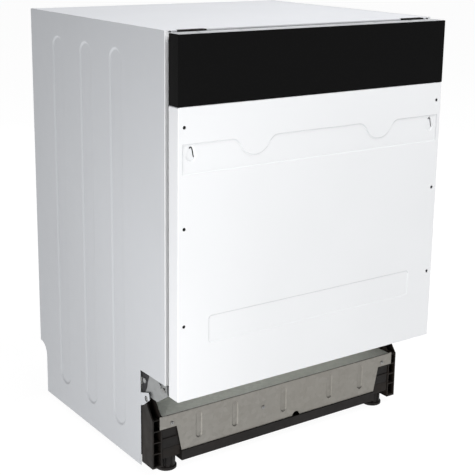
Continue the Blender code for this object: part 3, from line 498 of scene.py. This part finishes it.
def piece(name, shape, look, body="cabinet", nodes=(), thickness=0.0, outward=None, bevel=0.0, trim=None):
    """A mesh piece that rides on a body. thickness makes a sheet solid, on the side away from outward.

    trim is (look, test): faces whose centre, in millimetres, passes the test get that look.
    """
    points, faces = shape
    mesh = bpy.data.meshes.new(name)
    mesh.from_pydata([Vector(p) * MM for p in points], [], faces)
    work = bmesh.new()
    work.from_mesh(mesh)
    bmesh.ops.remove_doubles(work, verts=work.verts, dist=0.00001)
    bmesh.ops.recalc_face_normals(work, faces=work.faces)
    if outward and sum(f.calc_area() * f.normal.dot(Vector(outward)) for f in work.faces) < 0:
        bmesh.ops.reverse_faces(work, faces=work.faces)
    work.to_mesh(mesh)
    work.free()
    mesh.materials.append(LOOKS[look])
    if trim:
        mesh.materials.append(LOOKS[trim[0]])
        for face in mesh.polygons:
            face.material_index = 1 if trim[1](*(face.center / MM)) else 0
    mesh.shade_smooth()
    mesh.set_sharp_from_angle(angle=SHARP)
    obj = bpy.data.objects.new(name, mesh)
    bpy.context.scene.collection.objects.link(obj)
    if thickness:
        solid = obj.modifiers.new("thickness", "SOLIDIFY")
        solid.thickness = thickness * MM
        solid.offset = -1
    if bevel:
        soften(obj, bevel)
    weigh = obj.modifiers.new("normals", "WEIGHTED_NORMAL")
    weigh.keep_sharp = True
    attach(obj, body)
    if nodes:
        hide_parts(*nodes)
    return obj


def soften(obj, width):
    """Rounds the edges by a width in millimetres."""
    bevel = obj.modifiers.new("edges", "BEVEL")
    bevel.width = width * MM
    bevel.segments = 2
    bevel.limit_method = "ANGLE"
    bevel.angle_limit = BEVEL_FROM


def keep(look, *names, width=0.4):
    """CAD nodes whose shape is right: their finish, and softened edges."""
    for name in names:
        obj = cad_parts[name]
        obj.material_slots[0].material = LOOKS[look]
        weld = obj.modifiers.new("weld", "WELD")
        weld.merge_threshold = 0.00001
        flat = obj.modifiers.new("flat", "DECIMATE")
        flat.decimate_type = "DISSOLVE"
        flat.angle_limit = math.radians(0.5)
        if width:
            soften(obj, width)
        obj.modifiers.new("normals", "WEIGHTED_NORMAL")


def pair(name, shape, look, body="cabinet", node=None, outward=(1, 0, 0), **settings):
    """The right-hand piece and its mirror image on the left."""
    for side, made, sign in (("right", shape, 1), ("left", mirrored(shape), -1)):
        nodes = [f"{side}_{node}"] if node else ()
        facing = (outward[0] * sign, outward[1], outward[2])
        piece(f"{side}_{name}", made, look, body, nodes, outward=facing, **settings)


# ---------------------------------------------------------------- cabinet


def side_panels():
    """Folded sheets with three pressed ribs, and the toe recess with its screw tab."""

    def place(y, z, depth):
        return (HALF - depth, y, z)

    front, rear = CABINET_FRONT + FOLD, BACK - FOLD
    tab = [(TOE_EDGE, 128), (TOE_EDGE - 11, 133), (TOE_EDGE - 32, 150), (TOE_EDGE - 29, 163), (TOE_EDGE, 153)]
    notch = circle(BACK - 4, 90, 26, 9, 90, 90)
    outline = [(TOE_EDGE, SIDE_BOTTOM), *tab, (TOE_EDGE, TOE_HEIGHT), (front, TOE_HEIGHT), (front, HEIGHT)]
    outline += [(rear, HEIGHT), (rear, REAR_NOTCH_TOP), *notch, (BACK - 30, SIDE_BOTTOM)]

    def rib(y):
        low, high, radius = SIDE_RIB
        return lambda grow: stadium(y, low - grow, high + grow, radius + grow, 18)

    ribs = [pressing(rib(y), 2.0, place, 0.6, -4.4) for y in SIDE_RIBS]
    hole = circle(*TAB_SCREW, 5.6, 16)
    flat = fill([outline, hole, *[rib(y)(0.6) for y in SIDE_RIBS]], place)

    def corner(x, y, z):
        return (x, y, z)

    turns = (*BEND_STEPS, math.pi / 2)
    bend = [(HALF - FOLD + FOLD * math.cos(t), FOLD * math.sin(t)) for t in turns]
    front_flange = [*[(x, front - s) for x, s in bend], (291.5, CABINET_FRONT)]
    rear_flange = [*[(x, rear + s) for x, s in bend], (284, BACK)]
    fold_front = strip(front_flange, TOE_HEIGHT, HEIGHT, corner)
    fold_rear = strip(rear_flange, REAR_NOTCH_TOP, HEIGHT, corner)
    shape = join(flat, *ribs, fold_front, fold_rear)
    # The front flange keeps the white enamel; the rest of the sheet takes the darker side enamel, which is
    # partly painted shade
    edge = ("white_paint", lambda x, y, z: y < CABINET_FRONT + 1.2 and abs(x) > 291)
    pair("side_sheet", shape, "side_paint_and_shade", node="side_panel", thickness=0.9, trim=edge)


def plinth():
    """The galvanised plate with five pressed ribs, its shelf and riser, and its screws."""

    def place(x, z, depth):
        return (x, PLATE_Y + depth, z)

    top, end = PLATE_TOP - FOLD, PLATE_HALF
    drain_notch = circle(31, PLATE_BOTTOM, 9, 13, 180, -180)
    outline = [(-236, PLATE_BOTTOM), *drain_notch, (236, PLATE_BOTTOM), (247, PLATE_STEP), (end, PLATE_STEP)]
    outline += [(end, PLATE_TOP), (SHELF_HALF, PLATE_TOP), (SHELF_HALF, top), (-SHELF_HALF, top)]
    outline += [(-SHELF_HALF, PLATE_TOP), (-end, PLATE_TOP), (-end, PLATE_STEP), (-247, PLATE_STEP)]

    def rib(x):
        low, high, radius = PLATE_RIB
        return lambda grow: stadium(x, low - grow, high + grow, radius + grow, 12)

    pressed = [pressing(rib(x), 2.2, place, 0.9, -1.8) for x in PLATE_RIBS]
    flat = fill([outline, *[rib(x)(0.9) for x in PLATE_RIBS]], place)
    turns = (*BEND_STEPS, 1.57)
    bend = [(PLATE_Y + FOLD - FOLD * math.cos(t), top + FOLD * math.sin(t)) for t in turns]
    profile = [*bend, (SHELF_BACK - 1, PLATE_TOP), (SHELF_BACK, PLATE_TOP + 1), (SHELF_BACK, RISER_TOP)]
    shelf = strip(profile, -SHELF_HALF, SHELF_HALF, lambda y, z, x: (x, y, z))
    ends = []
    inner, outer = SHELF_HALF, 297
    near, far = SHELF_BACK - 13, SHELF_BACK - 0.2
    ledge = [(inner, near), (outer, near), (outer, far), (inner, far)]
    foot = PLATE_TOP + 0.4
    wall = [(inner, foot), (outer, foot), (outer, RISER_TOP), (inner, RISER_TOP)]
    for sign in (-1, 1):
        ends.append(fill([ledge], lambda x, y, d, s=sign: (s * x, y, PLATE_TOP)))
        ends.append(fill([wall], lambda x, z, d, s=sign: (s * x, SHELF_BACK, z)))
    shape = join(flat, *pressed, shelf, *ends)
    # The shelf, its riser and its ends take the lighter copy of the galvanised sheet: painted light and
    # painted reflection
    painted_light_shelf = ("shelf", lambda x, y, z: y > PLATE_Y + FOLD - 0.2 and z > PLATE_TOP - 1)
    facing = (0, -1, 0.4)
    piece("plinth_sheet", shape, "plate", nodes=["plinth_plate"], thickness=0.9, outward=facing, trim=painted_light_shelf)
    heads = [screw((x, PLATE_Y, z), (0, -1, 0)) for x, z in ((-257, 98), (257, 98), (-50, 76))]
    piece("plinth_screws", join(*heads), "steel")


def painted_shadow_plates():
    """A dark plate on the outside of each hinge bracket: painted shadow for the dark hollow of the notch."""
    outline = [(-150.2, 154), (-150.2, 195.4), (-174, 195.4), (-168, 180), (-165, 168), (-158, 154)]
    shadow_slab = slab(outline, sideways(1), BRACKET_FACE + 0.05, BRACKET_FACE + 1.0)
    pair("painted_shadow_plate", shadow_slab, "rubber", outward=(0, 0, 0))


def edge_strip():
    """The condensation strip along the top panel's front edge."""
    bar = box(-284, 284, CABINET_FRONT - 1.0, CABINET_FRONT - 0.1, 806.5, 812.2)
    piece("edge_strip", bar, "rubber", bevel=0.2)


def foot_housings():
    """The stepped front of each foot housing: a lip, a rib and a skirt before the foot."""
    steps = ((91, 86.5, -189.2, -187), (70, 67.6, -188.6, -187), (50, 30, -187.4, -185.2))
    for name, sign in (("right", 1), ("left", -1)):
        parts = []
        for high, low, front, back in steps:
            parts.append(box(*sorted((sign * 238, sign * 276)), front, back, low, high))
        piece(f"{name}_foot_housing", join(*parts), "post_plastic", bevel=0.4)


def fixings():
    """Screw heads on the side tabs, the rear panel and the door's pivots."""
    tab = screw((HALF - 2.4, *TAB_SCREW), (1, 0, 0), 4.2)
    rear = [screw((x, BACK - 2.0, z), (0, 1, 0), 3.4) for x in (265, 90) for z in (130, 330, 480, 630, 800)]
    pivot = screw((BRACKET_FACE, *PIVOT), (1, 0, 0), 4.6)
    pair("screws", join(tab, *rear, pivot), "steel", outward=(0, 0, 0))


def springs():
    """Tension springs with hooked ends, drawn as fixed coils; on the machine they stretch as the door comes
    down.
    """
    x, y, turns = SPRING_X, SPRING_Y, 34
    low, high, radius = 48.0, 164.0, 4.2
    path = [(x, y, 37), (x, y, 42), (x + 2.5, y, 45)]
    for i in range(turns * 12 + 1):
        t = math.tau * i / 12
        level = low + (high - low) * i / (turns * 12)
        path.append((x + radius * math.cos(t), y + radius * math.sin(t), level))
    path += [(x + 2.5, y, 167), (x, y, 170), (x, y, 176)]
    coil = wire(path, 0.8, 6)
    for side, shape, sign in (("right", coil, 1), ("left", mirrored(coil), -1)):
        obj = piece(f"{side}_spring_coil", shape, "steel", nodes=[f"{side}_door_spring"])
        obj.parent = None
        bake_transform(obj)


def feet():
    """Castellated feet on threaded stems."""

    def foot(x, y, body, top):
        """A disc and a body up to height body, cut by teeth, under a thread up to height top."""
        rings = []
        disc = ((18.8, 0, 0), (20, 1, 0), (20, 5, 0), (19.2, 6, 0), (17.4, 6.4, 0))
        shank = ((17.4, 8, 1), (17.4, body - 2, 1), (16.4, body, 0.4), (8, body, 0), (7.4, body, 0))
        for radius, z, teeth in (*disc, *shank):
            ring = []
            for k in range(72):
                inward = 2.4 * teeth if k % 9 in (0, 1, 2) else 0.0
                t = math.tau * k / 72
                ring.append((x + (radius - inward) * math.cos(t), y + (radius - inward) * math.sin(t), z))
            rings.append(ring)
        stem = []
        z = float(body)
        while z < top - 2:
            stem += [(7.4, z), (6.5, z + 0.9), (6.5, z + 1.2), (7.4, z + 2.1)]
            z += 2.4
        thread = turned([*stem, (6.4, top), (0, top)], (x, y, 0), (0, 0, 1), 20)
        return join(loft(rings, capped=True), thread)

    for name, x, y, body, top in (
        ("front_right_foot", 255, -165, 34, 112),
        ("front_left_foot", -255, -165, 34, 112),
        ("rear_foot", 0, 214, 14, 84),
    ):
        piece(f"{name}_moulding", foot(x, y, body, top), "black_plastic", name, [name])


def gasket():
    """A rubber bulb with a clamped lip, up both sides of the tub's mouth and over the top."""
    corners = circle(-259.5, 770, 22, 7, 180, -90) + circle(259.5, 770, 22, 7, 90, -90)
    path = [(-281.5, 192), *corners, (281.5, 192)]
    angles = [math.tau * k / 14 for k in range(14)]
    section = [(3.6 * math.cos(t), -235.3 + 2.2 * math.sin(t)) for t in angles]
    rings = []
    for i, (x, z) in enumerate(path):
        before, after = Vector(path[max(i - 1, 0)]), Vector(path[min(i + 1, len(path) - 1)])
        along = (after - before).normalized()
        across = Vector((-along.y, along.x))
        rings.append([(x + across.x * s, y, z + across.y * s) for s, y in section])
    piece("gasket_bulb", loft(rings, capped=True), "rubber", nodes=["tub_gasket"])


# ---------------------------------------------------------------- door


def grip_outline(grow):
    """The pressed band whose upper edge dips round two half-round lobes."""
    half, low, high = GRIP_HALF + grow, GRIP_LOW - grow, GRIP_HIGH + grow
    points = [(-half, low), (half, low), (half, high)]
    for centre in (LOBE_X, -LOBE_X):
        slope = ((49, 0), (45, 0.6), (41, 2), (37.6, 4.4))
        shoulder = [(out - grow, high - fall) for out, fall in slope]
        points += [(centre + a, b) for a, b in shoulder]
        points += circle(centre, LOBE_Z + grow / 2, 34 - grow / 2, 21, -22, -136)
        points += [(centre - a, b) for a, b in reversed(shoulder)]
    return [*points, (-half, high)]


def door_sheet():
    """The folded outer pan, with its grip band, lower band, keyholes and screw holes."""

    def place(x, z, depth):
        return (x, DOOR_FRONT + depth, z)

    def rim(grow):
        edge = DOOR_HALF - FOLD + grow
        low, high = DOOR_BOTTOM + FOLD - grow, DOOR_TOP - FOLD + grow
        return rounded(-edge, edge, low, high, 0.6 + grow, 5)

    def keyhole(x):
        def outline(grow):
            return circle(x, 612, 9.5 + grow, 16, 160, 230) + circle(x + 0.3, 624.5, 5.2 + grow, 12, 0, 180)

        return outline

    def slit(x):
        hook = [(-2.2, 624.4), (-0.9, 626.4), (1.0, 626.7), (2.9, 624.6)]
        leg = [(4.2, 618.6), (5, 613.6), (6.6, 609.2)]
        return ribbon([(x + a, b) for a, b in hook + leg], 2.5)

    def lower(grow):
        half, low, high = LOWER_BAND
        return rounded(-half - grow, half + grow, low - grow, high + grow, 6 + grow, 6)

    holes = [circle(s * DOOR_HOLES_X, z, 3.1, 16) for s in (-1, 1) for z in DOOR_HOLES_Z]
    keys = [keyhole(s * KEYHOLE_X) for s in (-1, 1)]
    slits = [slit(s * KEYHOLE_X) for s in (-1, 1)]
    flat = fill([rim(0), *holes, grip_outline(1.5), lower(1.5)], place)
    band = pressing(grip_outline, GRIP_DEPTH, place, 1.5, -1.7, [k(0.8) for k in keys])

    def deeper(x, z, depth):
        return (x, DOOR_FRONT + GRIP_DEPTH + depth, z)

    pockets = [pressing(k, KEYHOLE_DEPTH, deeper, 0.8, -0.8, [s]) for k, s in zip(keys, slits)]
    panel = pressing(lower, LOWER_BAND_DEPTH, place, 1.5, -1.8)
    rings = []
    for t in (*BEND_STEPS, 1.57):
        rings.append([place(a, b, FOLD * (1 - math.cos(t))) for a, b in rim(FOLD * math.sin(t))])
    rings.append([place(a, b, DOOR_BACK - DOOR_FRONT) for a, b in rim(FOLD)])
    shape = join(flat, band, *pockets, panel, loft(rings))

    def painted_shade_faces(x, y, z):
        """The pan's sides, and the pressed walls that face the floor, which take a darker enamel as painted
        shade.
        """
        if abs(x) > 291:
            return y > DOOR_FRONT + 1.2
        wall = 0.2 < y - DOOR_FRONT < 1.25 and (596 < z < 640 or 302 < z < 335)
        return wall and not 262 < abs(x) < 283.5

    finish = {"thickness": 0.8, "outward": (0, -1, 0), "trim": ("door_painted_shade", painted_shade_faces)}
    piece("door_sheet", shape, "white_paint", "door", ["door_outer_panel"], **finish)


# ---------------------------------------------------------------- racks


def spread(low, high, count):
    """Evenly spaced values, both ends included."""
    return [low + (high - low) * i / (count - 1) for i in range(count)]


def rack_grip(low, high):
    """The grip moulded on a rack's front rim."""
    return slab(rounded(-92, 92, low, high, 8), upright, RACK_FRONT + 0.4, RACK_FRONT + 8)


def basket(half, bottom, top, across, along):
    """The wires of a rack: two rims, and U shapes both ways under them."""
    front, back = RACK_FRONT + 3.2, RACK_BACK - 3.2
    side = half - 3.2
    made = []
    for z, radius in ((top - 3.2, 3.0), (top - 36, 2.0), (bottom + 2.6, 2.4)):
        loop = [(-side, front, z), (side, front, z), (side, back, z), (-side, back, z)]
        made.append(wire(fillet(loop, 26, 6, closed=True), radius, closed=True))
    for y in spread(front + 26, back - 26, along):
        path = [(-side, y, top - 4), (-side, y, bottom + 3), (side, y, bottom + 3), (side, y, top - 4)]
        made.append(wire(fillet(path, 14), WIRE))
    for x in spread(-side + 26, side - 26, across):
        path = [(x, front, top - 4), (x, front, bottom + 6), (x, back, bottom + 6), (x, back, top - 4)]
        made.append(wire(fillet(path, 14), WIRE))
    return made


def tines(xs, ys, base, height, lean=7.0):
    """Rows of plate holders, each on a rail along Y."""
    made = []
    for x in xs:
        made.append(wire([(x, ys[0] - 8, base), (x, ys[-1] + 8, base)], WIRE))
        for y in ys:
            tine = [(x, y, base), (x, y + lean * 0.3, base + height * 0.5), (x, y + lean, base + height)]
            made.append(wire(tine, 1.7, 7))
    return made


def lower_rack():
    """The lower rack's wires, its wheel carriers and its grip."""
    made = basket(252, 228, 330, 13, 14)
    made += tines((-196, -130, -64, 2, 68, 128), spread(-150, 190, 13), 237, 62)
    piece("lower_rack_wires", join(*made), "coated_wire", "lower_rack", ["lower_rack"])
    carriers = []
    axle = [(0, -9), (3, -9), (3, 6.6), (5, 6.8), (5, 8), (0, 8.4)]
    for y in WHEEL_YS:
        ring = [(y - 10, 236), (y - 6, WHEEL_Z - 4), (y - 3, WHEEL_Z - 7)]
        ring += [(y + 3, WHEEL_Z - 7), (y + 6, WHEEL_Z - 4), (y + 10, 236)]
        foot = [(y - 34, 233), (y + 34, 233), (y + 26, 240), (y - 26, 240)]
        for sign in (-1, 1):
            place = sideways(sign)
            carriers.append(slab(ring, place, WHEEL_X - 10, WHEEL_X - 5.4))
            carriers.append(turned(axle, (sign * (WHEEL_X - 1.6), y, WHEEL_Z), (sign, 0, 0), 20))
            carriers.append(slab(foot, place, WHEEL_X - 12, WHEEL_X - 2))
    carriers.append(rack_grip(312, 329))
    piece("lower_rack_mouldings", join(*carriers), "grey_plastic", "lower_rack", bevel=0.8)


def wheels():
    """Rollers with a tread, a recessed web and five ribs."""
    profile = [(3.6, -4), (6.4, -4), (6.4, -1.6), (12.4, -1.4), (13, -4), (16, -4), (17, -3)]
    profile += [(17, 3), (16, 4), (13, 4), (12.4, 1.4), (6.4, 1.6), (6.4, 4), (3.6, 4), (3.6, -4)]
    for y, end in zip(WHEEL_YS, ("front", "rear")):
        for sign, side in ((1, "right"), (-1, "left")):
            name = f"{end}_{side}_wheel"
            x = sign * WHEEL_X
            ribs = []
            for k in range(5):
                t = math.tau * k / 5
                u, v = Vector((0, math.cos(t), math.sin(t))), Vector((0, -math.sin(t), math.cos(t)))
                c = Vector((x, y, WHEEL_Z))
                ring = [c + u * a + v * b for a, b in ((6.2, -0.8), (12.8, -0.8), (12.8, 0.8), (6.2, 0.8))]
                across = Vector((3.2, 0, 0))
                ribs.append(loft([[p - across for p in ring], [p + across for p in ring]], capped=True))
            tyre = turned(profile, (x, y, WHEEL_Z), (1, 0, 0), 40)
            piece(f"{name}_roller", join(tyre, *ribs), "grey_plastic", name, [name])


def upper_rack():
    """The upper rack's wires, its side runners with their rollers, the spray arm's feed and its grip."""
    made = basket(250, 500, 640, 13, 14)
    made += tines((-80, -20, 70, 130, 190), spread(-150, 190, 13), 509, 44, 5.0)
    piece("upper_rack_wires", join(*made), "coated_wire", "upper_rack", ["upper_rack"])
    parts = []
    roller = [(0, 0), (5.6, 0), (6, 0.6), (6, 6.4), (5.4, 7), (0, 7)]
    for sign in (-1, 1):
        parts.append(slab(rounded(-190, 200, 543, 553, 4), sideways(sign), 250, 262))
        for y in (-165, -60, 80, 175):
            parts.append(turned(roller, (sign * 262.5, y, 548), (sign, 0, 0), 24))
    parts.append(slab(rounded(-8, 8, 492, 502, 3), upright, MIDDLE, RACK_BACK))
    hub = [(0, 468.2), (9, 468.2), (10, 469), (10, 471.4), (6, 471.6)]
    hub += [(6, 486.5), (10, 486.5), (10, 502), (0, 502)]
    parts.append(turned(hub, (0, MIDDLE, 0), (0, 0, 1), 28))
    parts.append(rack_grip(622, 639))
    piece("upper_rack_mouldings", join(*parts), "grey_plastic", "upper_rack", bevel=0.8)


def cup_shelf():
    """A folding wire shelf on its hinge bar."""
    x, z = -240.0, 604.0
    loop = [(x, -147, z), (x + 110, -147, z), (x + 110, 147, z), (x, 147, z)]
    made = [wire([(x, -156, z), (x, 156, z)], 2.8, 12), wire(fillet(loop, 14, 6), WIRE)]
    made += [wire([(x + a, -146, z - 0.1), (x + a, 146, z - 0.1)], 1.6) for a in (28, 56, 84)]
    made += [wire([(x, y, z), (x + 109, y, z)], 1.6) for y in spread(-118, 118, 9)]
    piece("cup_shelf_wires", join(*made), "coated_wire", "cup_shelf", ["cup_shelf"])


def cutlery_basket():
    """A slatted basket with two wells and a handle on its cross wall."""
    x0, x1, y0, y1, z0, z1 = 158.0, 246.0, -186.0, 50.0, 232.4, 344.0
    middle, cross = (x0 + x1) / 2, (y0 + y1) / 2
    t = 2.0
    made = []
    for low, high in ((z0, z0 + 8), (z0 + 50, z0 + 54), (z1 - 16, z1)):
        outer, inner = rounded(x0, x1, y0, y1, 7), rounded(x0 + t, x1 - t, y0 + t, y1 - t, 5)
        rings = [[(a, b, low) for a, b in outer], [(a, b, high) for a, b in outer]]
        rings += [[(a, b, high) for a, b in inner], [(a, b, low) for a, b in inner]]
        made.append(loft([*rings, rings[0]]))
    for y in spread(y0 + 7, y1 - 7, 25):
        made += [box(x, x + t, y - 1.4, y + 1.4, z0, z1) for x in (x0, x1 - t)]
    for x in spread(x0 + 8, x1 - 8, 9):
        made += [box(x - 1.4, x + 1.4, y, y + t, z0, z1) for y in (y0, y1 - t)]
        made.append(box(x - 1.2, x + 1.2, y0 + 1, y1 - 1, z0, z0 + 2))
    made += [box(x0 + 1, x1 - 1, y - 1.2, y + 1.2, z0 + 0.2, z0 + 2.2) for y in spread(y0 + 8, y1 - 8, 24)]
    made.append(box(x0 + 1, x1 - 1, cross - 1, cross + 1, z0, z1))
    made.append(box(middle - 4, middle + 4, cross - 4, cross + 4, z1 - 30, z1 + 36))
    bar = rounded(middle - 4, middle + 4, z1 + 34, z1 + 42, 3.4)
    made.append(slab(bar, upright, cross - 50, cross + 50))
    piece("cutlery_basket_lattice", join(*made), "dark_grey", "lower_rack", ["cutlery_basket"], bevel=0.5)


def spray_arms():
    """Tapered, domed arms with raised jets."""
    jet = [(5, 0), (4.6, 1.6), (3.2, 2.6), (1.6, 2.6), (1.4, 0.4), (0, 0.4)]
    collar = [(6.8, 0.1), (24, 0.1), (26, 1.4), (26, 9), (23, 12.4), (12, 13.9), (6.8, 13.9), (6.8, 0.1)]
    angles = [math.tau * k / 20 for k in range(20)]
    for name, z, turn in (("lower_spray_arm", 202.0, 1), ("upper_spray_arm", 472.0, -1)):
        rings = []
        for x in spread(-ARM_LENGTH, ARM_LENGTH, 41):
            share = abs(x) / ARM_LENGTH
            half = 22.5 - 9 * share
            end = math.sqrt(max(0.0, 1 - max(0.0, (share - 0.94) / 0.06) ** 2))
            half = max(half * end, 0.6)
            lift = (3.6 + 2.0 * (1 - share)) * max(end, 0.25)
            shift = -3.0 * math.sin(math.pi * x / ARM_LENGTH)
            section = [(half * math.cos(t), lift * math.sin(t)) for t in angles]
            rings.append([(x, MIDDLE + shift + a, z + 7.4 + b) for a, b in section])
        made = [loft(rings, capped=True)]
        made.append(turned(collar, (0, MIDDLE, z), (0, 0, 1), 40))
        for x in (-178, -142, -106, 90, 124, 158):
            place = (turn * x, MIDDLE + 2, z + 9.6)
            made.append(turned(jet, place, (0, 0, 1), 20))
        piece(f"{name}_moulding", join(*made), "grey_plastic", name, [name])


# ---------------------------------------------------------------- studio


def floor():
    """A plain pale floor."""
    g = Graph("floor")
    tone = g.span(g.noise(0.6, 3.0), 0.10, 0.13)
    pale = g.node("ShaderNodeCombineColor", {"Red": tone, "Green": tone, "Blue": tone}).outputs[0]
    glow = {"Emission_Strength": FLOOR_GLOW, "Emission_Color": (1, 1, 1, 1)}
    g.finish(Base_Color=pale, Roughness=0.9, Specular_IOR_Level=0.1, **glow)
    mesh = bpy.data.meshes.new("floor")
    corners = [(a * FLOOR_HALF, b * FLOOR_HALF, 0) for a, b in ((-1, -1), (1, -1), (1, 1), (-1, 1))]
    mesh.from_pydata(corners, [], [(0, 1, 2, 3)])
    mesh.materials.append(g.material)
    obj = bpy.data.objects.new("floor", mesh)
    bpy.context.scene.collection.objects.link(obj)


def sky():
    """A soft dome, brighter at the horizon than overhead."""
    world = bpy.data.worlds.new("studio")
    world.use_nodes = True
    tree = world.node_tree
    split = tree.nodes.new("ShaderNodeSeparateXYZ")
    level = tree.nodes.new("ShaderNodeMapRange")
    for key, value in SKY_FADE.items():
        level.inputs[key].default_value = value
    tree.links.new(tree.nodes.new("ShaderNodeTexCoord").outputs["Generated"], split.inputs[0])
    tree.links.new(split.outputs["Z"], level.inputs["Value"])
    tree.links.new(level.outputs[0], tree.nodes["Background"].inputs["Strength"])
    tree.nodes["Background"].inputs["Color"].default_value = SKY_COLOUR
    bpy.context.scene.world = world


def lights():
    """Soft area lights, each turned to the middle of the machine."""
    for name, at, size, watts, colour in LIGHTS:
        lamp = bpy.data.lights.new(name, "AREA")
        lamp.size = size
        lamp.energy = watts
        lamp.color = colour
        obj = bpy.data.objects.new(name, lamp)
        obj.location = at
        aim = Vector(LIGHT_TARGET) - Vector(at)
        obj.rotation_euler = aim.to_track_quat("-Z", "Y").to_euler()
        obj.visible_camera = False
        bpy.context.scene.collection.objects.link(obj)


def camera():
    """The main view, from the machine's left front."""
    yaw, pitch, roll = math.radians(CAMERA_YAW), math.radians(CAMERA_PITCH), math.radians(CAMERA_ROLL)
    forward = Vector((math.sin(yaw) * math.cos(pitch), math.cos(yaw) * math.cos(pitch), -math.sin(pitch)))
    right = Vector((math.cos(yaw), -math.sin(yaw), 0))
    up = right.cross(forward)
    across = right * math.cos(roll) + up * math.sin(roll)
    above = up * math.cos(roll) - right * math.sin(roll)
    data = bpy.data.cameras.new("camera")
    data.lens = CAMERA_LENS
    data.sensor_width = 36.0
    data.shift_y = CAMERA_SHIFT
    obj = bpy.data.objects.new("camera", data)
    bpy.context.scene.collection.objects.link(obj)
    turn = Matrix((across, above, -forward)).transposed().to_4x4()
    obj.matrix_world = Matrix.Translation(CAMERA_AT) @ turn
    bpy.context.scene.camera = obj
    bpy.context.scene.view_settings.view_transform = "Standard"


# ---------------------------------------------------------------- build

keep("top_paint", "top_panel")
keep("black_plastic", "left_worktop_bracket", "right_worktop_bracket")
keep("black_plastic", "base_tray", "circulation_pump", "salt_cap")
keep("post_plastic", "left_front_post", "right_front_post", width=0.8)
keep("galvanised", "rear_panel", "front_crossbar", width=0.25)
keep("galvanised", "left_hinge_bracket", "right_hinge_bracket", width=0.25)
keep("galvanised", "left_hinge_arm", "right_hinge_arm", width=0.25)
keep("stainless", "tub", "filter_plate", width=0.3)
keep("liner", "door_inner_panel", "left_rack_rail", "right_rack_rail")
keep("grey_plastic", "spray_feed_pipe", "sump", "drain_pump", width=0.8)
keep("grey_plastic", "drain_spigot", "terminal_box", "filter_cup", width=0.8)
keep("strip", "control_strip")
keep("dark_grey", "dispenser_body", "dispenser_lid", width=0.5)
keep("pale_plastic", "water_softener", "inlet_valve", "air_break", width=0.8)
keep("strip", "power_button", "program_button", "delay_button", "start_button", width=0.5)
keep("black_gloss", "control_fascia", width=0.9)
keep("strip", "display_window", width=0.2)
keep("blue_plastic", "rinse_aid_cap", width=0.6)
keep("felt", "door_insulation", width=0)
keep("steel", "latch_hook", width=0.3)
side_panels()
plinth()
painted_shadow_plates()
edge_strip()
foot_housings()
fixings()
springs()
feet()
gasket()
door_sheet()
lower_rack()
wheels()
upper_rack()
cup_shelf()
cutlery_basket()
spray_arms()
floor()
sky()
lights()
camera()
